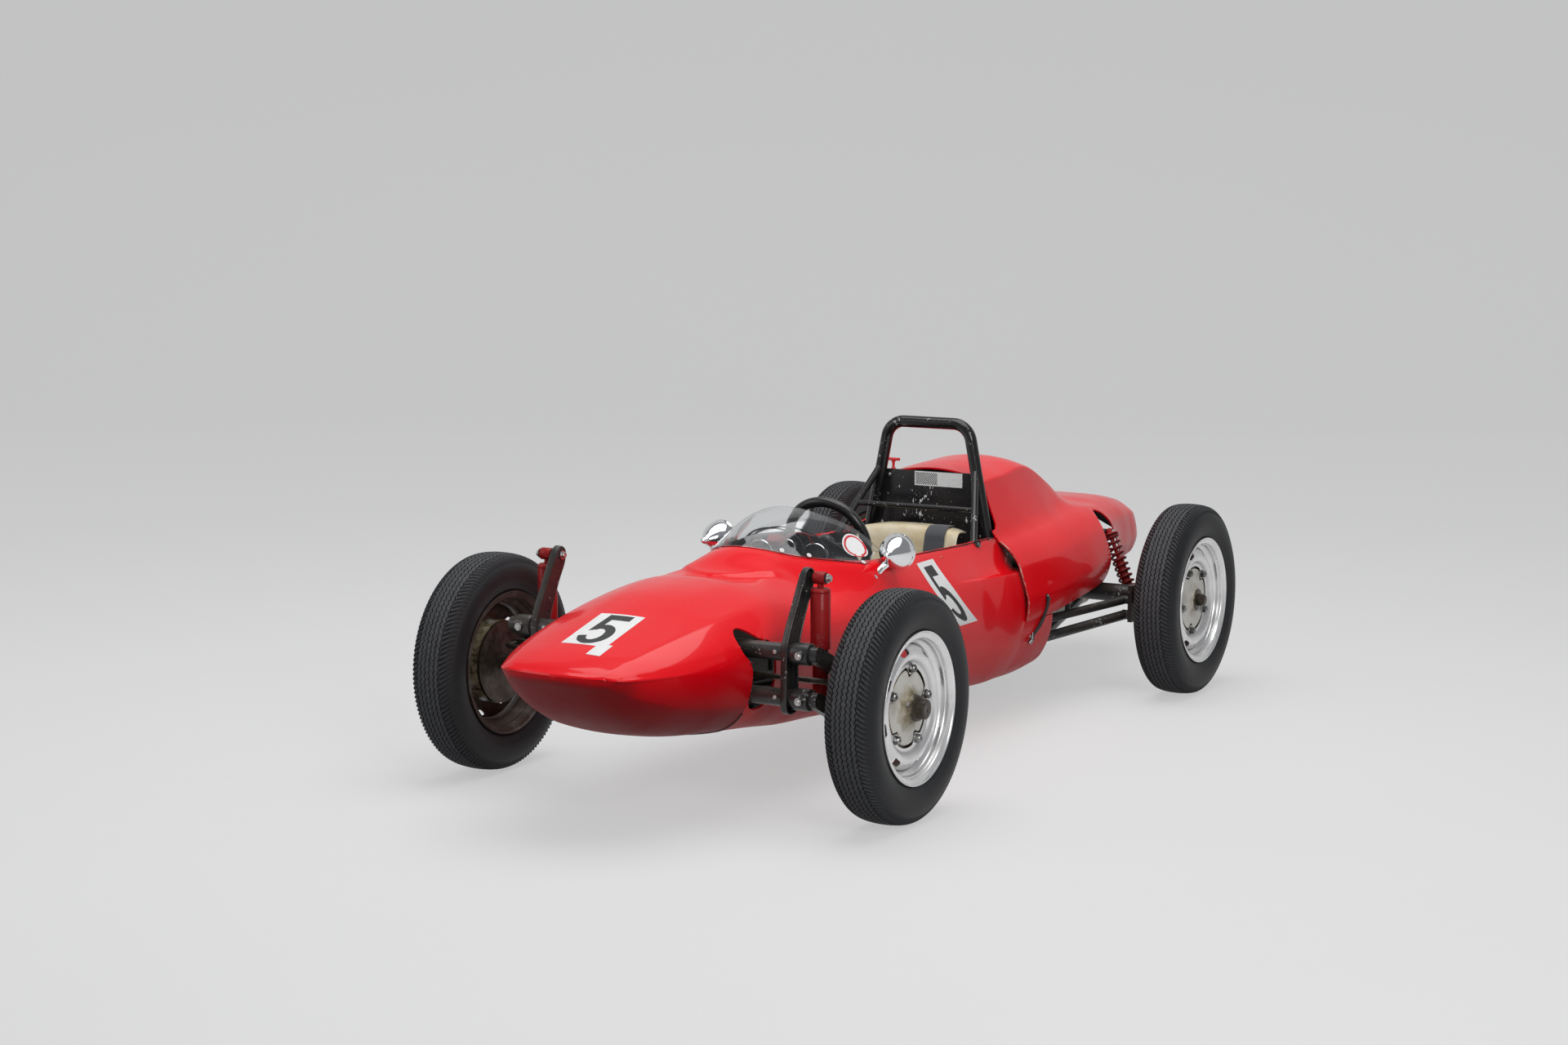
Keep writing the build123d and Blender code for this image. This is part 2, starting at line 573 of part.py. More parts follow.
# ---- rear axle and drive ------------------------------------------------------------
def build_rear_axle():
    """Swing-axle tubes with bearing housings, backplates, stub shafts and arm brackets."""
    wheel_x = REAR_TRACK / 2
    plate_x = wheel_x - 38
    z = TYRE_RADIUS
    tube = fuse(
        rod((112, WHEELBASE, z), (548, WHEELBASE, z), 30),
        rod((540, WHEELBASE, z), (plate_x + 1, WHEELBASE, z), 46),
        rod((plate_x, WHEELBASE, z), (plate_x + 4, WHEELBASE, z), 118),
        rod((plate_x, WHEELBASE, z), (wheel_x + 44, WHEELBASE, z), SPINDLE_RADIUS),
        block(BRACKET_X, BRACKET_X + 14, WHEELBASE - 64, WHEELBASE + 34, 228, 350),
        block(COIL_FOOT[0] - 9, COIL_FOOT[0] + 9, WHEELBASE + 20, COIL_FOOT[1] + 12, 298, COIL_FOOT[2] - 12),
    )
    both_sides("axle_tube", tube)
    arms = []
    for (radius, y, pivot_z), z in zip(ARM_PIVOTS, (250, 300)):
        end = (BRACKET_X - 16, WHEELBASE - 47, z)
        arms.append(rod((230, y, pivot_z), (254, y, pivot_z), 19))
        arms.append(rod((244, y, pivot_z), end, radius))
        arms.append(rod((BRACKET_X - 24, *end[1:]), (BRACKET_X, *end[1:]), radius))
    both_sides("rear_arms", fuse(*arms))


def build_coil_over():
    """Rear coil-over damper: damper tube, two spring plates and the spring's rings."""
    foot = Vector(*COIL_FOOT)
    axis = Vector(*COIL_TOP) - foot
    length = axis.length
    place = Plane(origin=foot, z_dir=axis)
    parts = [disc((x - COIL_EYE_HALF, y, z), (1, 0, 0), 12, 2 * COIL_EYE_HALF) for x, y, z in (COIL_FOOT, COIL_TOP)]
    parts.append(Solid.make_cylinder(15, length * 0.6, place))
    parts.append(Solid.make_cylinder(6, length, place))
    spring_start = 24
    spring_length = length - 52
    spring_radius = 22
    wire_radius = 3.5
    parts.append(Solid.make_cylinder(27, 4, place.offset(spring_start - 6)))
    parts.append(Solid.make_cylinder(27, 4, place.offset(spring_start + spring_length + 2)))
    for i in range(COIL_TURNS):
        step = spring_start + i * spring_length / (COIL_TURNS - 1)
        parts.append(place.offset(step) * Torus(spring_radius, wire_radius))
    middle = spring_start + spring_length / 2
    rib = Pos(spring_radius, 0, middle) * Box(4, 4, spring_length + 8)
    parts += [place * Rot(0, 0, angle) * rib for angle in (90, 270)]
    both_sides("coil_over", fuse(*parts))


def build_drive():
    """Engine block with its upright fan housing, transaxle and exhaust."""
    crankcase = block(-190, 190, 1580, 1960, 215, 304)
    cylinders = block(-300, 300, 1620, 1940, 303, 430)
    housing = block(-150, 150, 1700, 1860, 428, 740)
    keep("engine_block", fuse(crankcase, cylinders, housing))
    case = rod((0, 1960, 313), (0, 2030, 313), 148)
    box = block(-112, 112, 2028, 2200, 225, 402)
    nose = rod((0, 2198, 300), (0, 2420, 300), 56)
    foot = block(-150, 150, 2345, 2375, 245, 257)
    keep("transaxle", fuse(case, box, nose, foot))
    pipe_radius = 17
    pipes = []
    for side in (-1, 1):
        route = [(side * 128, 1925, 215), (side * 128, 1925, 195), (side * 128, 2040, 190), (0, 2320, 172)]
        pipes += [rod(a, b, pipe_radius) for a, b in zip(route, route[1:])]
        pipes += [Pos(*p) * Sphere(pipe_radius) for p in route[1:3]]
    pipes.append(rod((0, 2290, 174), (0, 2700, 195), 30))
    keep("exhaust", fuse(*pipes))


def build_mirror():
    """Bullet mirror on a flared foot."""
    centre = (306, 657, 621)
    shell = Solid.make_cone(46, 20, 60, Plane(origin=centre, z_dir=(0, -1, 0)))
    ring = disc(centre, (0, 1, 0), 47, 10)
    nose = Pos(centre[0], centre[1] - 60, centre[2]) * Sphere(20)
    foot = Solid.make_cone(28, 9, 36, Plane(origin=(268, 622, 552), z_dir=(0.45, 0.35, 1)))
    stem = rod((282, 632, 580), (301, 646, 606), 9)
    trimmed = fuse(shell, ring, nose, foot, stem) - NODES["cockpit_tub"]
    both_sides("mirror", trimmed.solids().sort_by(SortBy.VOLUME)[-1])


def write():
    """Move every piece to the car's own origin and write its STEP file."""
    for name, shape in NODES.items():
        export_step(Pos(0, FRONT_AXLE_Y, 0) * shape, f"parts/{name}.step")


build_body()
build_engine_cover()
build_windscreen()
build_dash()
build_roll_bar()
build_firewall()
build_seat()
build_frame()
build_front_beam()
build_front_shock()
build_front_arms()
build_knuckle()
build_track_rod()
build_steering()
build_controls()
build_wheels()
build_rear_axle()
build_coil_over()
build_drive()
build_mirror()
write()
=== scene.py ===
"""Looks of an open-wheel single-seat racing car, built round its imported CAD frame.

Every sub-assembly is a class with its sizes as fields; every finish is a small frozen
dataclass that makes one procedural material. Sizes are millimetres measured like the
frame's own: x to the car's left, y back from the front axle, z up from the ground. The
function row() turns them into the frame's metres.
"""

import logging
import math
from dataclasses import dataclass
from enum import Enum
from typing import Callable, Iterable, Optional, Sequence

import bmesh
import bpy
import numpy as np
from mathutils import Matrix, Vector


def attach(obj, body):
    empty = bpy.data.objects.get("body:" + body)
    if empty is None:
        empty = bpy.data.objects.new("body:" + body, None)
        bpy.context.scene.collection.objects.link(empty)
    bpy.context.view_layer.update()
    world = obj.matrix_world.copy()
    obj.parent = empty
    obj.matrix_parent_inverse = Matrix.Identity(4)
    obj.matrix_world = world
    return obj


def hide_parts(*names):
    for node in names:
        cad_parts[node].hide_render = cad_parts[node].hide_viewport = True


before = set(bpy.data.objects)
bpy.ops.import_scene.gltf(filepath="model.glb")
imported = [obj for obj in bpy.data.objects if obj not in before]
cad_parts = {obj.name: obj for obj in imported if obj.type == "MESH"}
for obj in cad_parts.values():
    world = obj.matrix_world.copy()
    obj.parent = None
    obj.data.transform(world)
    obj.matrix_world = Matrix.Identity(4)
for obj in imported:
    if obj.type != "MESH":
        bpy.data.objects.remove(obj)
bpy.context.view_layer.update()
LOG = logging.getLogger("racing_car")

MM = 0.001
FRONT_AXLE_Y = -1072.5
WHEELBASE = 2104.5
FRONT_HALF_TRACK = 658.0
REAR_HALF_TRACK = 630.5
TYRE_RADIUS = 313.7
NOSE_SEAM_Y = -163.0
TUB_BACK_Y = 1446.0
WASHER_THICKNESS = 1.6

Array = np.ndarray


class Side(Enum):
    """Side of the car, its value the sign of x there."""

    LEFT = 1
    RIGHT = -1

    @property
    def label(self) -> str:
        """Name of the side as node names end with it."""
        return "left" if self is Side.LEFT else "right"


# ---- arrays and meshes ----------------------------------------------------------------
def row(points: Array) -> Array:
    """Points in millimetres from the front axle as metres in the frame."""
    return (np.asarray(points, float) + (0.0, FRONT_AXLE_Y, 0.0)) * MM


def unit(vectors: Array) -> Array:
    """Vectors divided by their own lengths."""
    return vectors / np.maximum(np.linalg.norm(vectors, axis=-1, keepdims=True), 1e-12)


def travelled(path: Array) -> Array:
    """Distance from a path's start to each of its points, measured along it."""
    return np.concatenate([[0], np.cumsum(np.linalg.norm(np.diff(path, axis=0), axis=1))])


def axes_about(axis: Sequence[float]) -> tuple[Array, Array, Array]:
    """Two unit directions square to an axis and to each other, and the axis as a unit.

    Args:
        axis: Direction of any length.

    Returns:
        The two directions and the unit axis.
    """
    z = unit(np.asarray(axis, float))
    helper = np.array((1.0, 0.0, 0.0)) if abs(z[0]) < 0.8 else np.array((0.0, 1.0, 0.0))
    x = unit(np.cross(helper, z))
    return x, np.cross(z, x), z


def through(knots: Array, values: Array, at: Array) -> Array:
    """Smooth curve through table rows.

    Cubic Hermite between neighbours; each row's slope is the mean of the two chords
    beside it, weighted by the other chord's length.

    Args:
        knots: Rising parameter of each row, shape (K,).
        values: Rows, shape (K, C).
        at: Parameters wanted, shape (N,).

    Returns:
        Values at those parameters, shape (N, C).
    """
    step = np.diff(knots)[:, None]
    chord = np.diff(values, axis=0) / step
    slope = np.empty_like(values, dtype=float)
    slope[0], slope[-1] = chord[0], chord[-1]
    slope[1:-1] = (chord[:-1] * step[1:] + chord[1:] * step[:-1]) / (step[1:] + step[:-1])
    i = np.clip(np.searchsorted(knots, at) - 1, 0, len(knots) - 2)
    h = step[i]
    t = ((at - knots[i]) / h[:, 0])[:, None]
    return ((2 * t**3 - 3 * t**2 + 1) * values[i] + (t**3 - 2 * t**2 + t) * h * slope[i]
            + (3 * t**2 - 2 * t**3) * values[i + 1] + (t**3 - t**2) * h * slope[i + 1])


def bezier(a: Array, control: Array, b: Array, t: Array) -> Array:
    """Quadratic curve from a to b: (1-t)^2 a + 2t(1-t) control + t^2 b, t along axis -2."""
    t = t[..., None]
    return (1 - t) ** 2 * a[..., None, :] + 2 * t * (1 - t) * control[..., None, :] + t**2 * b[..., None, :]


def rounded_path(corners: Array, bows: Array, reaches: Array, level: Sequence[bool],
                 per_edge: int = 7, per_corner: int = 6) -> Array:
    """Half sections whose edges bow and whose corners are rounded.

    Each edge is a quadratic curve whose control point stands off its middle by twice
    the bow times the edge's length; each inner corner is a quadratic curve between the
    two points that lie its reach away along the edges. Where an end is level, that
    edge's control point has the end's height, so that the mirrored half joins smoothly.

    Args:
        corners: Corner points, shape (U, C, 2).
        bows: Bow of each edge as a share of its length, shape (U, C-1).
        reaches: Reach of each corner's rounding, shape (U, C).
        level: Whether the first and the last edge meet their end level.
        per_edge: Points on each edge.
        per_corner: Points inside each rounding.

    Returns:
        Points of each section, shape (U, V, 2).
    """
    a, b = corners[:, :-1], corners[:, 1:]
    run = b - a
    length = np.maximum(np.linalg.norm(run, axis=-1), 1e-6)
    away = np.stack([run[..., 1], -run[..., 0]], axis=-1)
    control = (a + b) / 2 + 2 * bows[..., None] * away
    if level[0]:
        control[:, 0] = np.stack([a[:, 0, 0] * 0.45 + b[:, 0, 0] * 0.55, a[:, 0, 1]], -1)
    if level[1]:
        control[:, -1] = np.stack([a[:, -1, 0] * 0.55 + b[:, -1, 0] * 0.45, b[:, -1, 1]], -1)
    start = np.clip(reaches[:, :-1] / length, 0, 0.46)
    stop = 1 - np.clip(reaches[:, 1:] / length, 0, 0.46)
    start[:, 0], stop[:, -1] = 0, 1
    pieces = []
    for i in range(corners.shape[1] - 1):
        span = np.linspace(0, 1, per_edge)[None]
        t = start[:, i:i + 1] + (stop[:, i:i + 1] - start[:, i:i + 1]) * span
        edge = bezier(a[:, i], control[:, i], b[:, i], t)
        if pieces:
            bend = np.linspace(0, 1, per_corner + 2)[None, 1:-1]
            pieces.append(bezier(pieces[-1][:, -1], a[:, i], edge[:, 0], np.repeat(bend, len(a), 0)))
        pieces.append(edge)
    return np.concatenate(pieces, axis=1)


def grid_faces(rows: int, columns: int, wrap_rows: bool = False, wrap_columns: bool = False) -> Array:
    """Quads of a rows by columns grid of vertices, wound so that u x v faces outward.

    Args:
        rows: Number of rows.
        columns: Number of columns.
        wrap_rows: Whether the last row joins the first.
        wrap_columns: Whether the last column joins the first.

    Returns:
        Vertex indices, shape (F, 4).
    """
    u = np.arange(rows if wrap_rows else rows - 1)
    v = np.arange(columns if wrap_columns else columns - 1)
    u, v = np.meshgrid(u, v, indexing="ij")
    u1, v1 = (u + 1) % rows, (v + 1) % columns
    quads = np.stack([u * columns + v, u1 * columns + v, u1 * columns + v1, u * columns + v1], -1)
    return quads.reshape(-1, 4)


def mark_free_edges(mesh: bpy.types.Mesh) -> None:
    """Mark edges with a single face sharp, so that a wall's rim doesn't shade the skin.

    Args:
        mesh: Mesh to mark.
    """
    used = np.empty(len(mesh.loops), np.int32)
    mesh.loops.foreach_get("edge_index", used)
    alone = np.bincount(used, minlength=len(mesh.edges)) == 1
    if alone.any():
        sharp = mesh.attributes.get("sharp_edge") or mesh.attributes.new("sharp_edge", "BOOLEAN", "EDGE")
        flags = np.zeros(len(mesh.edges), bool)
        sharp.data.foreach_get("value", flags)
        sharp.data.foreach_set("value", flags | alone)


def add_mesh(name: str, points: Array, faces: Iterable, finish: "Finish", body: str, slot: str,
             smooth: Optional[float] = 35.0, weld: float = 0.000002) -> bpy.types.Object:
    """Put a mesh in the scene, riding on a body.

    Args:
        name: Name of the piece.
        points: Vertices in the frame's metres, shape (N, 3).
        faces: Vertex indices of each face.
        finish: Finish whose material it gets.
        body: CAD body that it rides on.
        slot: Name of a material slot; not used.
        smooth: Angle in degrees under which faces shade as one surface; None is flat.
        weld: Distance in metres within which vertices are merged.

    Returns:
        The new object.
    """
    mesh = bpy.data.meshes.new(name)
    listed = [np.asarray(face).tolist() for face in faces]
    mesh.from_pydata(np.asarray(points).reshape(-1, 3).tolist(), [], listed)
    if weld > 0:
        edit = bmesh.new()
        edit.from_mesh(mesh)
        bmesh.ops.remove_doubles(edit, verts=edit.verts, dist=weld)
        bmesh.ops.dissolve_degenerate(edit, edges=edit.edges, dist=weld * 0.1)
        if all(len(edge.link_faces) == 2 for edge in edit.edges):
            bmesh.ops.recalc_face_normals(edit, faces=edit.faces)
        edit.to_mesh(mesh)
        edit.free()
    if smooth is not None:
        mesh.shade_smooth()
        mesh.set_sharp_from_angle(angle=math.radians(smooth))
        mark_free_edges(mesh)
    mesh.validate()
    piece = bpy.data.objects.new(name, mesh)
    bpy.context.scene.collection.objects.link(piece)
    piece.data.materials.append(finish.material())
    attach(piece, body)
    LOG.info("piece %s on %s", name, body)
    return piece


def joined(parts: Sequence[tuple[Array, Iterable]]) -> tuple[Array, list]:
    """Several (points, faces) meshes as one, their face indices shifted.

    Args:
        parts: Points and faces of each mesh.

    Returns:
        Points and faces of the whole.
    """
    points, faces, base = [], [], 0
    for part_points, part_faces in parts:
        flat = np.asarray(part_points).reshape(-1, 3)
        points.append(flat)
        faces += [[int(corner) + base for corner in face] for face in part_faces]
        base += len(flat)
    return np.concatenate(points), faces


def set_attribute(piece: bpy.types.Object, name: str, values: Array) -> None:
    """Keep one number for each vertex in the mesh."""
    layer = piece.data.attributes.new(name, "FLOAT", "POINT")
    layer.data.foreach_set("value", np.asarray(values, np.float32))


def sided(part: tuple[Array, Iterable], side: Side) -> tuple[Array, list]:
    """A left-hand mesh for the given side: mirrored, and wound the other way, on the right.

    Args:
        part: Points and faces.
        side: Side of the car.

    Returns:
        Points and faces on that side.
    """
    points, faces = part
    step = side.value
    listed = np.asarray(faces, dtype=object).tolist()
    return points * (step, 1, 1), [list(face)[::step] for face in listed]


def thicken(piece: bpy.types.Object, thickness: float, offset: float = 1.0,
            inside: Optional["Finish"] = None) -> None:
    """Give a sheet its thickness, on both sides for an offset of 0 and inward for -1.

    Args:
        piece: Sheet to thicken.
        thickness: Thickness in millimetres.
        offset: Share of the thickness that stands outward less the share inward.
        inside: Finish of the inner side, the sheet's own if None.
    """
    solid = piece.modifiers.new("wall", "SOLIDIFY")
    solid.thickness, solid.offset = thickness * MM, offset
    solid.use_even_offset = False
    if inside:
        piece.data.materials.append(inside.material())
        solid.material_offset = 1


def outline_distance(points: Array, outline: Array) -> tuple[Array, Array]:
    """Signed distance of plane points from a closed outline, and the nearest point on it.

    The nearest point is the least distant of each point's feet on all the segments; the
    sign is minus inside, found by counting the segments that a ray to +x crosses.

    Args:
        points: Points, shape (N, 2).
        outline: Corners of the outline, shape (M, 2).

    Returns:
        Distances, shape (N,), and nearest points, shape (N, 2).
    """
    a, b = outline, np.roll(outline, -1, axis=0)
    run = b - a
    t = ((points[:, None] - a) * run).sum(-1) / np.maximum((run * run).sum(-1), 1e-12)
    feet = a + np.clip(t, 0, 1)[..., None] * run
    gap = np.linalg.norm(points[:, None] - feet, axis=-1)
    near = gap.argmin(1)
    crosses = (a[:, 1] > points[:, None, 1]) != (b[:, 1] > points[:, None, 1])
    rise = np.where(np.abs(run[:, 1]) < 1e-12, 1e-12, run[:, 1])
    hit = a[:, 0] + (points[:, None, 1] - a[:, 1]) / rise * run[:, 0]
    inside = (crosses & (points[:, None, 0] < hit)).sum(1) % 2 == 1
    index = np.arange(len(points))
    return np.where(inside, -gap[index, near], gap[index, near]), feet[index, near]


def cut_hole(points: Array, faces: Array, normals: Array, plane: tuple[int, int], outline: Array,
             reach: float, where: Optional[Array] = None) -> tuple[Array, Array]:
    """Open a hole in a grid surface along an outline drawn in a side or plan view.

    Vertices near the outline slide onto it, and along the third axis by what the
    surface's tangent plane asks; faces inside go, and of a quad with one corner inside
    the outer triangle stays.

    Args:
        points: Vertices, shape (N, 3).
        faces: Quads, shape (F, 4).
        normals: Vertex normals, shape (N, 3).
        plane: The two axes of the view.
        outline: Corners of the hole in that view.
        reach: Distance within which vertices slide.
        where: Mask of the vertices that the hole may touch.

    Returns:
        The moved vertices and the faces that stay, triangles given as quads that
        repeat a corner.
    """
    flat = points[:, plane]
    near_box = np.all((flat > outline.min(0) - 4 * reach) & (flat < outline.max(0) + 4 * reach), axis=1)
    if where is not None:
        near_box &= where
    distance = np.full(len(points), np.inf)
    target = flat.copy()
    index = np.flatnonzero(near_box)
    for part in np.array_split(index, max(1, len(index) // 4000)):
        if len(part):
            distance[part], target[part] = outline_distance(flat[part], outline)
    slide = np.abs(distance) < reach
    third = ({0, 1, 2} - set(plane)).pop()
    moved = points.copy()
    shift = target - flat
    down = np.where(np.abs(normals[:, third]) < 0.15, 0.15, normals[:, third])
    lift = -(normals[:, plane[0]] * shift[:, 0] + normals[:, plane[1]] * shift[:, 1]) / down
    moved[slide, plane[0]] = target[slide, 0]
    moved[slide, plane[1]] = target[slide, 1]
    moved[slide, third] += np.clip(lift[slide], -reach, reach)
    inside = (distance < 0) & ~slide
    count = inside[faces].sum(1)
    centre, _ = outline_distance(moved[faces].mean(1)[:, plane], outline)
    allowed = np.isfinite(distance[faces]).all(1)
    keep = faces[(count == 0) & ~(allowed & (centre < 0))]
    single = faces[(count == 1) & allowed]
    which = inside[single].argmax(1)
    order = (which[:, None] + np.arange(1, 5)) % 4
    corner = np.take_along_axis(single, order, 1)
    corner[:, 3] = corner[:, 2]
    middle, _ = outline_distance(moved[corner[:, :3]].mean(1)[:, plane], outline)
    return moved, np.concatenate([keep, corner[middle > 0]])


def surface_normals(grid: Array) -> Array:
    """Normals of a grid surface: the cross product of its u and v differences."""
    return unit(np.cross(np.gradient(grid, axis=0), np.gradient(grid, axis=1)))


def tidy_faces(faces: Array) -> list:
    """Faces with a repeated corner written as triangles, whichever way they are wound.

    Args:
        faces: Quads, some with a repeated corner.

    Returns:
        Quads and triangles.
    """
    late, early = faces[:, 3] == faces[:, 2], faces[:, 0] == faces[:, 1]
    whole, first, last = ~(late | early), late & ~early, early & ~late
    return faces[whole].tolist() + faces[first][:, :3].tolist() + faces[last][:, 1:].tolist()


def lathe(profile: Array, centre: Sequence[float], segments: int,
          closed: bool = False) -> tuple[Array, Array]:
    """Ring about an x axis: each profile point (x, r) carried round a full circle.

    The point at angle p is centre + (x, r sin p, r cos p).

    Args:
        profile: Closed or open outline, shape (K, 2), wound so that the ring faces out.
        centre: A point on the axis in millimetres.
        segments: Steps round the circle.
        closed: Whether the outline's last point joins its first.

    Returns:
        Points in the frame's metres and quads that close round the circle.
    """
    angle = np.linspace(0, 2 * math.pi, segments, endpoint=False)[:, None]
    x, r = profile[:, 0][None], profile[:, 1][None]
    ring = np.stack(np.broadcast_arrays(x, r * np.sin(angle), r * np.cos(angle)), -1)
    return row(ring + centre).reshape(-1, 3), grid_faces(segments, len(profile), True, closed)


def frames_along(path: Array) -> tuple[Array, Array]:
    """Two cross directions at each point of a path, each as near as it can be to level.

    Args:
        path: Points of the path, shape (N, 3).

    Returns:
        The two directions, shape (N, 3) each.
    """
    tangent = unit(np.gradient(path, axis=0))
    helper = np.where(np.abs(tangent[:, 2:3]) > 0.9, (1.0, 0.0, 0.0), (0.0, 0.0, 1.0))
    side = unit(np.cross(tangent, helper))
    return side, np.cross(side, tangent)


def tube(path: Array, radius: Array, around: int = 16) -> tuple[Array, Array]:
    """Round bar along a path in millimetres, closed at both ends by a point.

    Each ring is the path's point plus radius times (side cos p + up sin p).

    Args:
        path: Points along the middle, shape (N, 3).
        radius: One radius, or one for each point.
        around: Points in a ring.

    Returns:
        Points in the frame's metres and quads.
    """
    path = np.asarray(path, float)
    radius = np.broadcast_to(np.asarray(radius, float), (len(path),))
    side, up = frames_along(path)
    angle = np.linspace(0, 2 * math.pi, around, endpoint=False)
    ring = side[:, None] * np.cos(angle)[:, None] + up[:, None] * np.sin(angle)[:, None]
    body = path[:, None] + radius[:, None, None] * ring
    first = np.broadcast_to(path[0], (1, around, 3))
    last = np.broadcast_to(path[-1], (1, around, 3))
    grid = np.concatenate([first, body, last])
    return row(grid).reshape(-1, 3), grid_faces(len(grid), around, wrap_columns=True)[:, ::-1]


def turned(origin: Sequence[float], axis: Sequence[float], profile: Sequence[tuple[float, float]],
           around: int = 40) -> tuple[Array, Array]:
    """Solid of revolution about any axis, closed at both ends by a point.

    The point at angle p is origin + h axis + r (a cos p + b sin p), a and b square to
    the axis. The profile's rows (h, r) follow the outside from one end to the other; h
    may fall again where a lip turns back.

    Args:
        origin: Point of the axis at h = 0, in millimetres.
        axis: Direction of the axis.
        profile: Rows of height and radius.
        around: Points in a ring.

    Returns:
        Points in the frame's metres and quads.
    """
    table = np.asarray(profile, float)
    table = np.concatenate([table[:1] * (1, 0), table, table[-1:] * (1, 0)])
    x, y, z = axes_about(axis)
    angle = np.linspace(0, 2 * math.pi, around, endpoint=False)[:, None]
    ring = x * np.cos(angle) + y * np.sin(angle)
    grid = np.asarray(origin, float) + table[:, None, :1] * z + table[:, None, 1:] * ring
    return row(grid).reshape(-1, 3), grid_faces(len(table), around, wrap_columns=True)[:, ::-1]


def segments(points: Sequence[Sequence[float]], step: float) -> Array:
    """Points every step or so along the straight runs between the given ones.

    Args:
        points: Corners of the path.
        step: Distance between points, at most about this.

    Returns:
        Points, shape (N, 3).
    """
    points = np.asarray(points, float)
    run = travelled(points)
    at = np.linspace(0, run[-1], max(2, int(run[-1] / step) + 1))
    return np.stack([np.interp(at, run, points[:, i]) for i in range(3)], -1)


def hexagon_bolt(centre: Sequence[float], axis: Sequence[float], width: float, height: float,
                 washer: float = 0.0) -> tuple[Array, Array]:
    """Six-sided bolt head on an optional round washer, standing on its seat.

    Rings of 24 points go up the axis; the head's rings lie on the hexagon, whose
    radius at angle p is half the width over cos of p folded into one sixth.

    Args:
        centre: Middle of the seat in millimetres.
        axis: Direction that the head stands in.
        width: Width across its flats.
        height: Height of the head.
        washer: Radius of the washer, 0 for none.

    Returns:
        Points in the frame's metres and quads.
    """
    angle = np.linspace(0, 2 * math.pi, 24, endpoint=False)
    fold = np.mod(angle + math.pi / 6, math.pi / 3) - math.pi / 6
    hexagon = width / 2 / np.cos(fold)
    flat = np.full_like(angle, 1.0)
    base = WASHER_THICKNESS if washer else 0.0
    seat = flat * max(washer, width * 0.5)
    rows = [(0.0, seat), (base, seat), (base, hexagon), (base + height * 0.82, hexagon),
            (base + height, flat * width * 0.43), (base + height, flat * width * 0.2),
            (base + height * 0.8, flat * width * 0.16)]
    x, y, z = axes_about(axis)
    ring = x * np.cos(angle)[:, None] + y * np.sin(angle)[:, None]
    grid = np.stack([np.asarray(centre) + z * h + ring * r[:, None] for h, r in rows])
    closed = np.concatenate([np.broadcast_to(grid[:1].mean(1, keepdims=True), grid[:1].shape), grid,
                             np.broadcast_to(grid[-1:].mean(1, keepdims=True), grid[:1].shape)])
    return row(closed).reshape(-1, 3), grid_faces(len(closed), len(angle), wrap_columns=True)[:, ::-1]


# ---- shader graphs --------------------------------------------------------------------
Socket = bpy.types.NodeSocket


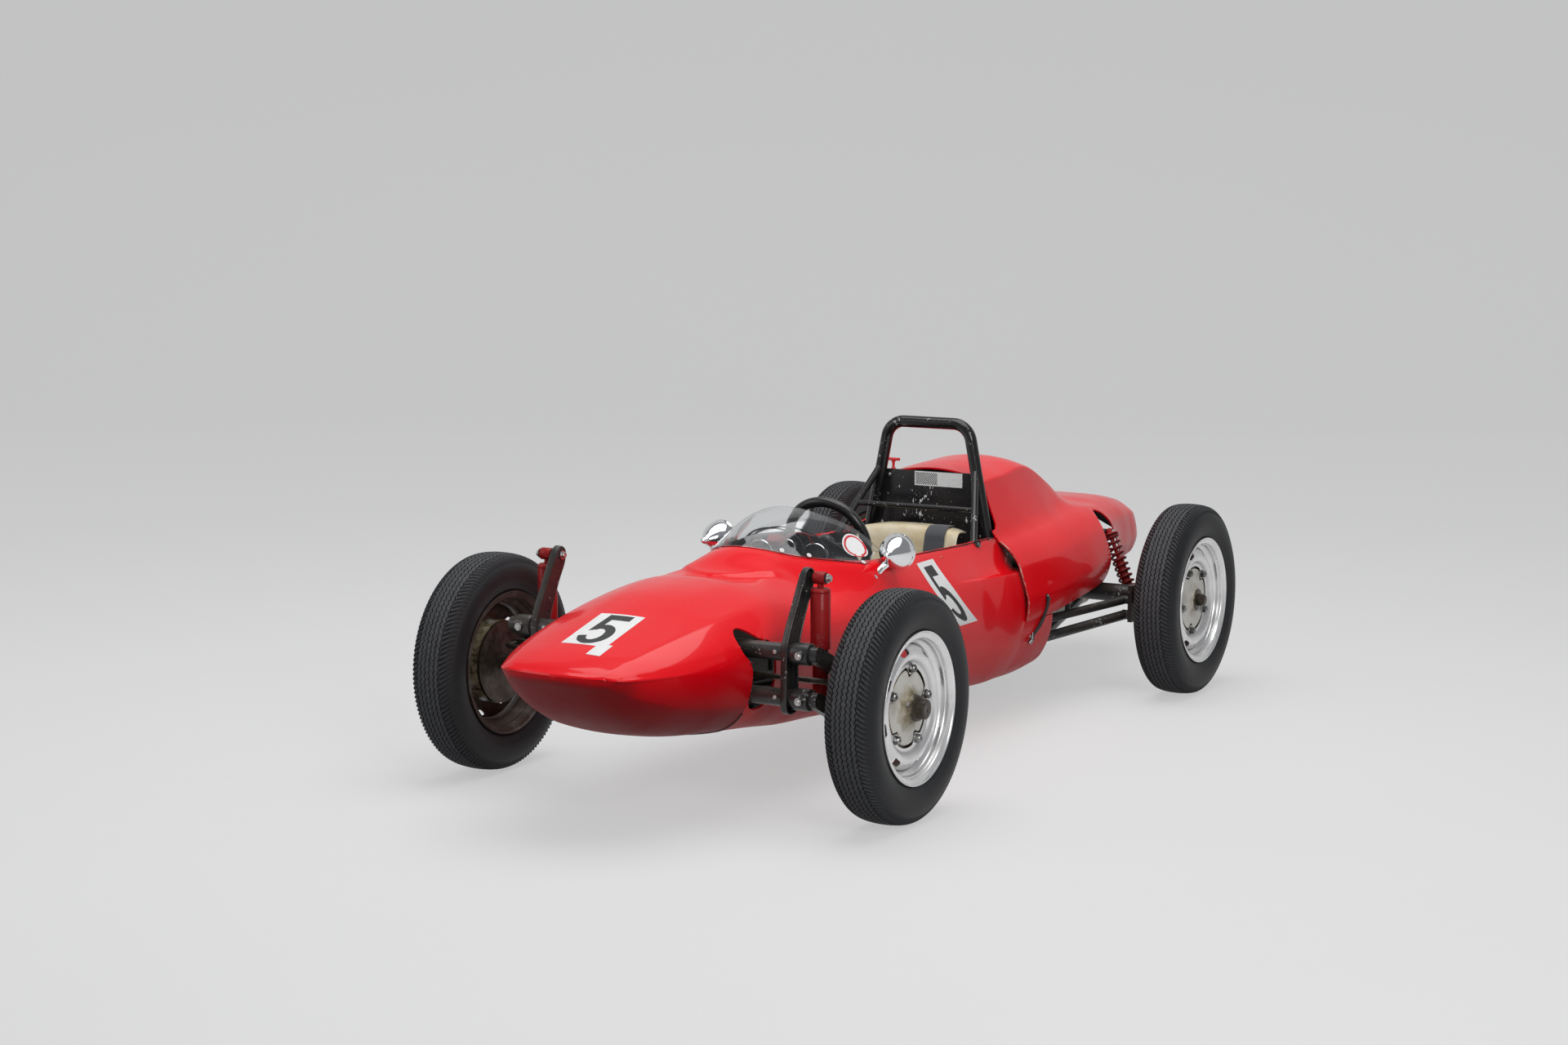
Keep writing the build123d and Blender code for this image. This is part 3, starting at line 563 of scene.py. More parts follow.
class Graph:
    """Short way to place and join nodes in one node tree."""

    def __init__(self, tree: bpy.types.NodeTree) -> None:
        """Work on the given tree."""
        self.tree = tree

    def add(self, kind: str, settings: Optional[dict] = None, **inputs: object) -> bpy.types.Node:
        """Place a node.

        Args:
            kind: Node type after the common prefix, such as TexNoise.
            settings: Attributes of the node.
            inputs: Input sockets by name, blanks as underscores; a socket is linked.

        Returns:
            The node.
        """
        node = self.tree.nodes.new("ShaderNode" + kind)
        for key, value in (settings or {}).items():
            setattr(node, key, value)
        for key, value in inputs.items():
            self.feed(node.inputs[key.replace("_", " ")], value)
        return node

    def feed(self, socket: Socket, value: object) -> None:
        """Link a socket, or set its value.

        Args:
            socket: Input socket.
            value: Output socket or plain value.
        """
        if isinstance(value, bpy.types.NodeSocket):
            self.tree.links.new(value, socket)
        else:
            socket.default_value = value

    def place(self) -> Socket:
        """Object coordinates of the surface point."""
        return self.add("TexCoord").outputs["Object"]

    def noise(self, vector: Socket, scale: float, detail: float = 3.0, rough: float = 0.55) -> Socket:
        """Noise value at a vector, about 0 to 1."""
        return self.add("TexNoise", Vector=vector, Scale=scale, Detail=detail, Roughness=rough).outputs[0]

    def span(self, value: Socket, low: float, high: float, to_low: float = 0.0, to_high: float = 1.0,
             smooth: bool = False) -> Socket:
        """Value carried from one range to another and held inside it.

        Args:
            value: Value to carry.
            low: Start of its range.
            high: End of its range.
            to_low: Start of the new range.
            to_high: End of the new range.
            smooth: Whether it eases at both ends.

        Returns:
            The new value.
        """
        settings = {"interpolation_type": "SMOOTHSTEP"} if smooth else {}
        node = self.add("MapRange", settings)
        for index, item in enumerate((value, low, high, to_low, to_high)):
            self.feed(node.inputs[index], item)
        return node.outputs[0]

    def math(self, operation: str, a: object, b: object = 0.0) -> Socket:
        """Result of one sum on two values.

        Args:
            operation: Math node's operation.
            a: First value.
            b: Second value.

        Returns:
            The result.
        """
        node = self.add("Math", {"operation": operation})
        self.feed(node.inputs[0], a)
        self.feed(node.inputs[1], b)
        return node.outputs[0]

    def blend(self, factor: object, a: object, b: object) -> Socket:
        """Colour a changed to colour b by a factor.

        Args:
            factor: Share of b.
            a: First colour.
            b: Second colour.

        Returns:
            The mixed colour.
        """
        node = self.add("Mix", {"data_type": "RGBA"})
        self.feed(node.inputs[0], factor)
        self.feed(node.inputs[6], a)
        self.feed(node.inputs[7], b)
        return node.outputs[2]

    def attribute(self, name: str) -> Socket:
        """Value of a vertex attribute."""
        return self.add("Attribute", {"attribute_name": name}).outputs["Fac"]

    def effect(self, group: bpy.types.NodeTree, *values: object) -> Socket:
        """First output of a shared effect, its inputs set or linked in order.

        Args:
            group: The effect's node tree.
            values: Values of its inputs in order.

        Returns:
            Its first output.
        """
        node = self.tree.nodes.new("ShaderNodeGroup")
        node.node_tree = group
        for socket, value in zip(node.inputs, values):
            self.feed(socket, value)
        return node.outputs[0]

    def mottle(self, vector: Socket, scale: float, low: float, high: float) -> Socket:
        """Cloudy value between two ends."""
        return self.effect(Effects.mottle(), vector, scale, low, high)

    def chips(self, vector: Socket, scale: float, amount: float, clusters: float) -> Socket:
        """Mask of small chips gathered in clusters."""
        return self.effect(Effects.chips(), vector, scale, amount, clusters)

    def dust(self, vector: Socket, amount: float) -> Socket:
        """Mask of settled dust."""
        return self.effect(Effects.dust(), vector, amount)

    def bump(self, height: Socket, distance: float, strength: float = 1.0) -> Socket:
        """Normal bent by a height, its distance in metres."""
        return self.add("Bump", Height=height, Distance=distance, Strength=strength).outputs[0]


class Effects:
    """Shader groups that several finishes share, each made once."""

    made: dict[str, bpy.types.NodeTree] = {}

    @classmethod
    def group(cls, name: str, inputs: Sequence[tuple[str, str, float]], outputs: Sequence[str],
              fill: Callable[[Graph, bpy.types.Node, bpy.types.Node], None]) -> bpy.types.NodeTree:
        """Make a group on its first use.

        Args:
            name: Name of the group.
            inputs: Name, socket kind and default of each input.
            outputs: Names of the value outputs.
            fill: Function that places the nodes between the group's ends.

        Returns:
            The group's node tree.
        """
        if name in cls.made:
            return cls.made[name]
        tree = bpy.data.node_groups.new(name, "ShaderNodeTree")
        for label, kind, default in inputs:
            socket = tree.interface.new_socket(name=label, in_out="INPUT", socket_type="NodeSocket" + kind)
            if kind == "Float":
                socket.default_value = default
        for label in outputs:
            tree.interface.new_socket(name=label, in_out="OUTPUT", socket_type="NodeSocketFloat")
        fill(Graph(tree), tree.nodes.new("NodeGroupInput"), tree.nodes.new("NodeGroupOutput"))
        cls.made[name] = tree
        return tree

    @classmethod
    def chips(cls) -> bpy.types.NodeTree:
        """Small sharp chips gathered in clusters: fine noise cut high where broad noise is high.

        Returns:
            The group.
        """
        def fill(graph: Graph, given: bpy.types.Node, result: bpy.types.Node) -> None:
            """Add two noises and cut the sum high.

            Args:
                graph: Graph of the group.
                given: Node with the group's inputs.
                result: Node with its outputs.
            """
            fine = graph.add("TexNoise", Vector=given.outputs["Vector"], Scale=given.outputs["Scale"],
                             Detail=4.0, Roughness=0.6).outputs[0]
            broad_scale = graph.math("MULTIPLY", given.outputs["Scale"], 0.13)
            broad = graph.add("TexNoise", Vector=given.outputs["Vector"], Scale=broad_scale,
                              Detail=1.0).outputs[0]
            summed = graph.math("ADD", fine, graph.math("MULTIPLY", broad, given.outputs["Clusters"]))
            level = graph.math("SUBTRACT", 1.0, given.outputs["Amount"])
            over = graph.math("SUBTRACT", summed, level)
            graph.feed(result.inputs["Mask"], graph.span(over, 0.0, 0.02))
        return cls.group("clustered_chips", [("Vector", "Vector", 0), ("Scale", "Float", 60.0),
                         ("Amount", "Float", 0.2), ("Clusters", "Float", 0.5)], ["Mask"], fill)

    @classmethod
    def mottle(cls) -> bpy.types.NodeTree:
        """Cloudy value between two ends: noise of four octaves carried to the wanted range.

        Returns:
            The group.
        """
        def fill(graph: Graph, given: bpy.types.Node, result: bpy.types.Node) -> None:
            """Carry one noise to the given range.

            Args:
                graph: Graph of the group.
                given: Node with the group's inputs.
                result: Node with its outputs.
            """
            cloud = graph.add("TexNoise", Vector=given.outputs["Vector"], Scale=given.outputs["Scale"],
                              Detail=4.0, Roughness=0.6).outputs[0]
            node = graph.add("MapRange")
            for index, item in enumerate((cloud, 0.32, 0.68, given.outputs["Low"], given.outputs["High"])):
                graph.feed(node.inputs[index], item)
            graph.feed(result.inputs["Value"], node.outputs[0])
        return cls.group("mottle", [("Vector", "Vector", 0), ("Scale", "Float", 8.0),
                         ("Low", "Float", 0.2), ("High", "Float", 0.4)], ["Value"], fill)

    @classmethod
    def dust(cls) -> bpy.types.NodeTree:
        """Dust mask: thicker on faces that look up and near the ground, broken up by noise.

        Returns:
            The group.
        """
        def fill(graph: Graph, given: bpy.types.Node, result: bpy.types.Node) -> None:
            """Multiply slope and height by a noise.

            Args:
                graph: Graph of the group.
                given: Node with the group's inputs.
                result: Node with its outputs.
            """
            normal = graph.add("NewGeometry").outputs["Normal"]
            up = graph.span(graph.add("SeparateXYZ", Vector=normal).outputs["Z"], 0.1, 1.0)
            height = graph.add("SeparateXYZ", Vector=given.outputs["Vector"]).outputs["Z"]
            low = graph.span(height, 0.08, 0.34, 1.0, 0.0)
            cloud = graph.noise(given.outputs["Vector"], 23.0, 5.0, 0.65)
            both = graph.math("ADD", graph.math("MULTIPLY", up, 0.5), graph.math("MULTIPLY", low, 0.8))
            mask = graph.math("MULTIPLY", both, graph.span(cloud, 0.35, 0.7))
            graph.feed(result.inputs["Mask"], graph.math("MULTIPLY", mask, given.outputs["Amount"]))
        return cls.group("settled_dust", [("Vector", "Vector", 0), ("Amount", "Float", 0.5)],
                         ["Mask"], fill)


# ---- finishes -------------------------------------------------------------------------
Colour = tuple[float, float, float, float]
DUST: Colour = (0.30, 0.26, 0.21, 1.0)


@dataclass(frozen=True)
class Finish:
    """A surface finish that makes one material, kept for every piece that wears it."""

    name: str

    def material(self) -> bpy.types.Material:
        """The finish's material, made on its first use.

        Returns:
            The material.
        """
        found = bpy.data.materials.get(self.name)
        if found:
            return found
        made = bpy.data.materials.new(self.name)
        made.use_nodes = True
        graph = Graph(made.node_tree)
        self.dress(graph, made.node_tree.nodes["Principled BSDF"])
        return made

    def dress(self, graph: Graph, shader: bpy.types.Node) -> None:
        """Join this finish's pattern to the shader."""
        raise NotImplementedError


@dataclass(frozen=True)
class GlossPaint(Finish):
    """Sprayed gloss paint with a soft ripple, cloudy gloss, dust, small chips and painted shade on faces
    that look down.
    """

    colour: Colour = (0.88, 0.0012, 0.0085, 1.0)
    shade: Colour = (0.70, 0.001, 0.006, 1.0)
    chip: Colour = (0.62, 0.36, 0.30, 1.0)
    chip_amount: float = 0.0
    dust_amount: float = 0.03
    gloss: tuple[float, float] = (0.28, 0.40)
    coat: float = 0.42
    # film: colour of the painted shade on faces that look down
    film: Colour = (0.17, 0.0006, 0.003, 1.0)

    def dress(self, graph: Graph, shader: bpy.types.Node) -> None:
        """Tint by broad noise, add chips and dust, and ripple the surface.

        The mesh's under attribute, 1 where it faces the road, darkens the paint toward the film
        colour as painted shade, and dulls it.

        Args:
            graph: Graph of the material's nodes.
            shader: Its Principled node.
        """
        place = graph.place()
        cloud = graph.mottle(place, 2.6, 0.0, 0.35)
        paint = graph.blend(cloud, self.colour, self.shade)
        chips = graph.chips(place, 140.0, self.chip_amount, 0.42)
        paint = graph.blend(chips, paint, self.chip)
        # painted shade: faces that look down go dark toward the film colour
        under = graph.attribute("under")
        paint = graph.blend(graph.math("MULTIPLY", graph.math("POWER", under, 2.0), 0.9), paint, self.film)
        dust = graph.dust(place, self.dust_amount)
        graph.feed(shader.inputs["Base Color"], graph.blend(dust, paint, DUST))
        gloss = graph.mottle(place, 9.0, self.gloss[0], self.gloss[1])
        dulled = graph.math("ADD", graph.math("ADD", gloss, graph.math("MULTIPLY", dust, 0.5)),
                            graph.math("MULTIPLY", under, 0.15))
        graph.feed(shader.inputs["Roughness"], dulled)
        shader.inputs["Specular IOR Level"].default_value = 0.12
        graph.feed(shader.inputs["Coat Weight"], graph.span(under, 0.0, 0.45, self.coat, self.coat * 0.05))
        shader.inputs["Coat Roughness"].default_value = 0.05
        ripple = graph.math("ADD", graph.noise(place, 9.0, 2.0), graph.math("MULTIPLY", chips, -0.3))
        graph.feed(shader.inputs["Normal"], graph.bump(ripple, 0.0006, 0.25))


@dataclass(frozen=True)
class Laminate(Finish):
    """Inside of a glass-fibre shell: dark flow coat over chopped strands."""

    colour: Colour = (0.018, 0.017, 0.018, 1.0)
    strand: Colour = (0.05, 0.045, 0.042, 1.0)

    def dress(self, graph: Graph, shader: bpy.types.Node) -> None:
        """Strands from stretched cells over a dark base.

        Args:
            graph: Graph of the material's nodes.
            shader: Its Principled node.
        """
        place = graph.place()
        cells = graph.add("TexVoronoi", {"feature": "DISTANCE_TO_EDGE"}, Vector=place, Scale=90.0).outputs[0]
        strands = graph.span(cells, 0.0, 0.12, 1.0, 0.0)
        graph.feed(shader.inputs["Base Color"], graph.blend(strands, self.colour, self.strand))
        graph.feed(shader.inputs["Roughness"], graph.span(graph.noise(place, 14.0), 0.3, 0.7, 0.45, 0.8))
        graph.feed(shader.inputs["Normal"], graph.bump(strands, 0.0008, 0.5))


@dataclass(frozen=True)
class WornBlack(Finish):
    """Black chassis paint: greasy brown patches, scuffs and a few bright scratches."""

    colour: Colour = (0.016, 0.017, 0.019, 1.0)
    grime: Colour = (0.055, 0.043, 0.034, 1.0)
    scratch: Colour = (0.42, 0.42, 0.42, 1.0)
    scratch_amount: float = 0.03
    grime_amount: float = 0.5
    gloss: tuple[float, float] = (0.24, 0.46)
    dust_amount: float = 0.22

    def dress(self, graph: Graph, shader: bpy.types.Node) -> None:
        """Grime by noise, scratches by thin stretched noise, cloudy gloss.

        Args:
            graph: Graph of the material's nodes.
            shader: Its Principled node.
        """
        place = graph.place()
        cloud = graph.mottle(place, 11.0, 0.0, self.grime_amount)
        paint = graph.blend(cloud, self.colour, self.grime)
        chips = graph.chips(place, 120.0, self.scratch_amount, 0.55)
        paint = graph.blend(chips, paint, self.scratch)
        dust = graph.dust(place, self.dust_amount)
        graph.feed(shader.inputs["Base Color"], graph.blend(dust, paint, DUST))
        gloss = graph.mottle(place, 16.0, self.gloss[0], self.gloss[1])
        graph.feed(shader.inputs["Roughness"], graph.math("ADD", gloss, graph.math("MULTIPLY", dust, 0.4)))
        rough = graph.math("ADD", graph.noise(place, 180.0, 3.0), graph.math("MULTIPLY", chips, -0.5))
        graph.feed(shader.inputs["Normal"], graph.bump(rough, 0.0005, 0.35))


@dataclass(frozen=True)
class ChippedPanel(Finish):
    """Gloss black sheet whose paint has flaked to pale primer in upright streaks."""

    colour: Colour = (0.010, 0.010, 0.012, 1.0)
    flake: Colour = (0.86, 0.86, 0.83, 1.0)
    worn_place: tuple[float, float, float] = (-0.02, 0.406, 0.66)

    def dress(self, graph: Graph, shader: bpy.types.Node) -> None:
        """Chips in a vector squeezed along z, so they run upright, with a dusty film.

        They crowd within 120 mm of the worn place.

        Args:
            graph: Graph of the material's nodes.
            shader: Its Principled node.
        """
        place = graph.place()
        upright = graph.add("Mapping", Vector=place).outputs[0]
        upright.node.inputs["Scale"].default_value = (1.0, 1.0, 0.45)
        flakes = graph.chips(upright, 74.0, 0.055, 0.58)
        specks = graph.chips(place, 190.0, 0.055, 0.42)
        patch = graph.chips(upright, 110.0, 0.15, 0.45)
        near = graph.add("VectorMath", {"operation": "DISTANCE"}, Vector=place)
        near.inputs[1].default_value = self.worn_place
        middle = graph.span(near.outputs["Value"], 0.02, 0.12, 1.0, 0.0)
        worst = graph.math("MULTIPLY", patch, middle)
        both = graph.math("MAXIMUM", graph.math("MAXIMUM", flakes, specks), worst)
        film = graph.mottle(place, 7.0, 0.0, 0.10)
        paint = graph.blend(film, self.colour, DUST)
        graph.feed(shader.inputs["Base Color"], graph.blend(both, paint, self.flake))
        graph.feed(shader.inputs["Roughness"], graph.span(both, 0.0, 1.0, 0.22, 0.6))
        graph.feed(shader.inputs["Normal"], graph.bump(both, 0.0006, -0.5))


@dataclass(frozen=True)
class TreadRubber(Finish):
    """Tyre rubber: dusty worn ribs, black grooves and a smooth dark sidewall."""

    rib: Colour = (0.100, 0.102, 0.108, 1.0)
    wall: Colour = (0.0125, 0.013, 0.0145, 1.0)

    def dress(self, graph: Graph, shader: bpy.types.Node) -> None:
        """The mesh's wear attribute is 1 on the ribs; noise breaks it up.

        Args:
            graph: Graph of the material's nodes.
            shader: Its Principled node.
        """
        place = graph.place()
        wear = graph.attribute("wear")
        cloud = graph.noise(place, 60.0, 5.0, 0.7)
        fine = graph.span(graph.noise(place, 340.0, 2.0, 0.6), 0.36, 0.64, 0.55, 1.0)
        dusty = graph.math("MULTIPLY", graph.math("POWER", wear, 1.6),
                           graph.math("MULTIPLY", fine, graph.span(cloud, 0.3, 0.62, 0.6, 1.0)))
        film = graph.mottle(place, 8.0, 0.02, 0.10)
        graph.feed(shader.inputs["Base Color"],
                   graph.blend(graph.math("MAXIMUM", dusty, film), self.wall, self.rib))
        graph.feed(shader.inputs["Roughness"], graph.span(wear, 0.0, 1.0, 0.52, 0.85))
        shader.inputs["Specular IOR Level"].default_value = 0.3
        grain = graph.noise(place, 420.0, 3.0)
        graph.feed(shader.inputs["Normal"], graph.bump(grain, 0.0005, 0.35))


@dataclass(frozen=True)
class WheelSilver(Finish):
    """Silver wheel paint with brake dust, dark brown on the barrel's half that faces the car, and painted
    shade in the disc's creases.
    """

    colour: Colour = (0.86, 0.86, 0.86, 1.0)
    grime: Colour = (0.40, 0.36, 0.31, 1.0)
    # dark brown of the barrel's half that faces the car and of the painted shade in the disc's creases
    rust: Colour = (0.055, 0.032, 0.022, 1.0)

    def dress(self, graph: Graph, shader: bpy.types.Node) -> None:
        """The mesh's inner attribute is 1 on the barrel's half that faces the car and marks the painted
        shade in the disc's creases; both go dark brown and less metallic.

        Args:
            graph: Graph of the material's nodes.
            shader: Its Principled node.
        """
        place = graph.place()
        film = graph.mottle(place, 18.0, 0.0, 0.16)
        specks = graph.chips(place, 170.0, 0.05, 0.4)
        paint = graph.blend(graph.math("MAXIMUM", film, specks), self.colour, self.grime)
        inner = graph.attribute("inner")
        broken = graph.math("MULTIPLY", inner, graph.span(graph.noise(place, 26.0, 5.0), 0.3, 0.5, 0.9, 1.0))
        graph.feed(shader.inputs["Base Color"], graph.blend(broken, paint, self.rust))
        graph.feed(shader.inputs["Metallic"], graph.span(inner, 0.0, 1.0, 0.80, 0.1))
        graph.feed(shader.inputs["Roughness"], graph.math("ADD", graph.span(film, 0.0, 0.16, 0.24, 0.38),
                                                          graph.math("MULTIPLY", broken, 0.35)))
        graph.feed(shader.inputs["Normal"], graph.bump(graph.noise(place, 60.0, 2.0), 0.0002, 0.06))


@dataclass(frozen=True)
class DrumPaint(Finish):
    """Cream-silver brake drum, its hub greasy brown, with painted shade in the gap round its face."""

    colour: Colour = (0.74, 0.72, 0.66, 1.0)
    # dark brown of the greasy hub and of the painted shade in the gap
    grease: Colour = (0.045, 0.035, 0.020, 1.0)
    stain: Colour = (0.36, 0.30, 0.19, 1.0)

    def dress(self, graph: Graph, shader: bpy.types.Node) -> None:
        """The mesh's grease attribute is 1 at the greasy hub and falls outward; over 1 on the recess floor
        round the face it is painted shade of the gap. Noise breaks it.

        Args:
            graph: Graph of the material's nodes.
            shader: Its Principled node.
        """
        place = graph.place()
        grease = graph.attribute("grease")
        cloud = graph.math("MULTIPLY", graph.math("SUBTRACT", graph.noise(place, 34.0, 5.0, 0.65), 0.5), 1.3)
        spread = graph.math("ADD", grease, cloud)
        thin = graph.span(spread, 0.28, 0.75)
        thick = graph.span(spread, 0.72, 1.05)
        film = graph.mottle(place, 22.0, 0.0, 0.22)
        paint = graph.blend(film, self.colour, self.stain)
        paint = graph.blend(thin, paint, self.stain)
        graph.feed(shader.inputs["Base Color"], graph.blend(thick, paint, self.grease))
        graph.feed(shader.inputs["Roughness"], graph.span(thick, 0.0, 1.0, 0.36, 0.24))
        graph.feed(shader.inputs["Metallic"], graph.span(thin, 0.0, 0.5, 0.25, 0.0))
        graph.feed(shader.inputs["Normal"], graph.bump(graph.noise(place, 90.0, 4.0), 0.0008, 0.3))


@dataclass(frozen=True)
class BareMetal(Finish):
    """Bare or plated metal with a cloudy polish and tarnish."""

    colour: Colour = (0.80, 0.81, 0.82, 1.0)
    tarnish: Colour = (0.28, 0.25, 0.21, 1.0)
    tarnish_amount: float = 0.25
    gloss: tuple[float, float] = (0.08, 0.2)
    metallic: float = 1.0
    grain: float = 0.15

    def dress(self, graph: Graph, shader: bpy.types.Node) -> None:
        """Tarnish by cloud noise; gloss follows a second cloud.

        Args:
            graph: Graph of the material's nodes.
            shader: Its Principled node.
        """
        place = graph.place()
        cloud = graph.mottle(place, 30.0, 0.0, self.tarnish_amount)
        graph.feed(shader.inputs["Base Color"], graph.blend(cloud, self.colour, self.tarnish))
        shader.inputs["Metallic"].default_value = self.metallic
        gloss = graph.mottle(place, 45.0, self.gloss[0], self.gloss[1])
        graph.feed(shader.inputs["Roughness"], gloss)
        graph.feed(shader.inputs["Normal"], graph.bump(graph.noise(place, 260.0, 3.0), 0.0004, self.grain))


@dataclass(frozen=True)
class ClearSheet(Finish):
    """Clear acrylic with a faint grey haze and fine scratches."""

    tint: Colour = (0.93, 0.95, 0.96, 1.0)

    def dress(self, graph: Graph, shader: bpy.types.Node) -> None:
        """Haze from cloud noise in the roughness; scratches in the bump.

        Args:
            graph: Graph of the material's nodes.
            shader: Its Principled node.
        """
        place = graph.place()
        graph.feed(shader.inputs["Base Color"],
                   graph.blend(graph.noise(place, 6.0), self.tint, (0.86, 0.89, 0.91, 1.0)))
        haze = graph.mottle(place, 12.0, 0.02, 0.06)
        graph.feed(shader.inputs["Roughness"], haze)
        shader.inputs["Transmission Weight"].default_value = 1.0
        shader.inputs["IOR"].default_value = 1.46
        graph.feed(shader.inputs["Normal"], graph.bump(graph.noise(place, 40.0, 2.0), 0.0004, 0.05))


@dataclass(frozen=True)
class Gelcoat(Finish):
    """Aged gold-cream gelcoat of the seat, scuffed and dusty."""

    colour: Colour = (0.60, 0.47, 0.27, 1.0)
    faded: Colour = (0.76, 0.70, 0.55, 1.0)
    scuff: Colour = (0.24, 0.19, 0.13, 1.0)

    def dress(self, graph: Graph, shader: bpy.types.Node) -> None:
        """Two tones by cloud noise, dark scuffs in clusters.

        Args:
            graph: Graph of the material's nodes.
            shader: Its Principled node.
        """
        place = graph.place()
        cloud = graph.mottle(place, 9.0, 0.0, 1.0)
        scuffs = graph.chips(place, 70.0, 0.06, 0.45)
        base = graph.blend(cloud, self.colour, self.faded)
        graph.feed(shader.inputs["Base Color"], graph.blend(scuffs, base, self.scuff))
        graph.feed(shader.inputs["Roughness"], graph.span(cloud, 0.0, 1.0, 0.28, 0.46))
        graph.feed(shader.inputs["Normal"], graph.bump(graph.noise(place, 80.0), 0.0006, 0.25))


@dataclass(frozen=True)
class Webbing(Finish):
    """Woven belt: fine ribs across and threads along, from the strap's own map."""

    colour: Colour = (0.045, 0.047, 0.055, 1.0)
    thread: Colour = (0.13, 0.135, 0.15, 1.0)

    def dress(self, graph: Graph, shader: bpy.types.Node) -> None:
        """Two crossed waves on the map: u across the strap, v along it, both in metres.

        Args:
            graph: Graph of the material's nodes.
            shader: Its Principled node.
        """
        uv = graph.add("UVMap", {"uv_map": "strap"}).outputs[0]
        waves = []
        for direction, scale in (("X", 160.0), ("Y", 110.0)):
            wave = graph.add("TexWave", {"bands_direction": direction}, Vector=uv, Scale=scale)
            wave.inputs["Distortion"].default_value = 0.6
            waves.append(wave.outputs["Fac"])
        weave = graph.math("MULTIPLY", waves[0], waves[1])
        patchy = graph.span(graph.noise(graph.place(), 20.0), 0.3, 0.7, 0.5, 1.0)
        worn = graph.math("MULTIPLY", weave, patchy)
        graph.feed(shader.inputs["Base Color"], graph.blend(worn, self.colour, self.thread))
        shader.inputs["Roughness"].default_value = 0.8
        shader.inputs["Sheen Weight"].default_value = 0.3
        graph.feed(shader.inputs["Normal"], graph.bump(weave, 0.0006, 0.5))


@dataclass(frozen=True)
class FlatPaint(Finish):
    """Brushed or printed paint with a slight unevenness and wear along small chips."""

    colour: Colour = (0.86, 0.86, 0.85, 1.0)
    worn: Colour = (0.55, 0.53, 0.50, 1.0)
    wear: float = 0.03
    rough: tuple[float, float] = (0.3, 0.5)

    def dress(self, graph: Graph, shader: bpy.types.Node) -> None:
        """Base colour with chips and cloudy roughness.

        Args:
            graph: Graph of the material's nodes.
            shader: Its Principled node.
        """
        place = graph.place()
        film = graph.mottle(place, 25.0, 0.0, 0.14)
        chips = graph.chips(place, 150.0, self.wear, 0.5)
        mask = graph.math("MAXIMUM", film, chips)
        graph.feed(shader.inputs["Base Color"], graph.blend(mask, self.colour, self.worn))
        rough = graph.mottle(place, 30.0, self.rough[0], self.rough[1])
        graph.feed(shader.inputs["Roughness"], rough)
        graph.feed(shader.inputs["Normal"], graph.bump(graph.noise(place, 200.0), 0.0004, 0.2))


RED = GlossPaint("racing_red")
INSIDE = Laminate("dark_laminate")
BLACK = WornBlack("chassis_black")
HOOP_BLACK = WornBlack("hoop_black", (0.010, 0.010, 0.011, 1.0), scratch_amount=0.02, grime_amount=0.10,
                       gloss=(0.12, 0.24), dust_amount=0.08)
BEAM_BLACK = WornBlack("beam_black", scratch_amount=0.02, grime_amount=0.6, gloss=(0.2, 0.42))
PANEL = ChippedPanel("flaked_panel")
RUBBER = TreadRubber("tread_rubber")
SILVER = WheelSilver("rim_silver")
DRUM = DrumPaint("drum_cream")
CHROME = BareMetal("bright_chrome", (0.86, 0.87, 0.88, 1.0), (0.5, 0.5, 0.5, 1.0), 0.1, (0.03, 0.09), 1.0,
                   0.04)
ZINC = BareMetal("zinc_fixing", (0.62, 0.62, 0.62, 1.0), (0.30, 0.27, 0.24, 1.0), 0.6, (0.25, 0.45))
LUG = BareMetal("lug_chrome", (0.34, 0.34, 0.34, 1.0), (0.05, 0.045, 0.04, 1.0), 0.85, (0.12, 0.3), 1.0, 0.2)
GREASED = BareMetal("greased_cap", (0.075, 0.058, 0.040, 1.0), (0.022, 0.016, 0.010, 1.0), 1.0, (0.22, 0.42),
                    0.3, 0.5)
RUSTY = BareMetal("rusty_inside", (0.10, 0.055, 0.034, 1.0), (0.028, 0.018, 0.013, 1.0), 1.0, (0.5, 0.8),
                  0.1, 0.8)
OILY = BareMetal("oily_steel", (0.12, 0.10, 0.08, 1.0), (0.03, 0.022, 0.015, 1.0), 0.9, (0.22, 0.5), 0.6,
                 0.5)
ALLOY = BareMetal("cast_alloy", (0.36, 0.36, 0.35, 1.0), (0.10, 0.085, 0.07, 1.0), 0.8, (0.4, 0.65), 0.85,
                  0.7)
PIPE = BareMetal("stained_pipe", (0.26, 0.22, 0.19, 1.0), (0.12, 0.07, 0.05, 1.0), 0.8, (0.32, 0.55), 0.9,
                 0.3)
CLEAR = ClearSheet("clear_screen")
GOLD = Gelcoat("seat_gelcoat")
BELT = Webbing("belt_webbing")
SHOCK_RED = GlossPaint("weathered_red", (0.34, 0.010, 0.012, 1.0), (0.15, 0.005, 0.005, 1.0),
                       (0.30, 0.14, 0.12, 1.0), 0.10, 0.3, (0.34, 0.6), 0.2)
RIM_CHIPS = FlatPaint("chipped_edge", (0.60, 0.42, 0.34, 1.0), (0.42, 0.02, 0.02, 1.0), 0.30)
SPRING_RED = GlossPaint("spring_red", (0.17, 0.005, 0.007, 1.0), (0.06, 0.003, 0.003, 1.0),
                        (0.20, 0.12, 0.10, 1.0), 0.06, 0.15, (0.3, 0.5), 0.2)
WHITE = FlatPaint("patch_white")
PALE_SCREW = FlatPaint("screw_caps", (0.80, 0.80, 0.79, 1.0), (0.45, 0.42, 0.38, 1.0), 0.05)
OLD_RIVET = FlatPaint("old_rivets", (0.50, 0.05, 0.05, 1.0), (0.55, 0.50, 0.45, 1.0), 0.25)
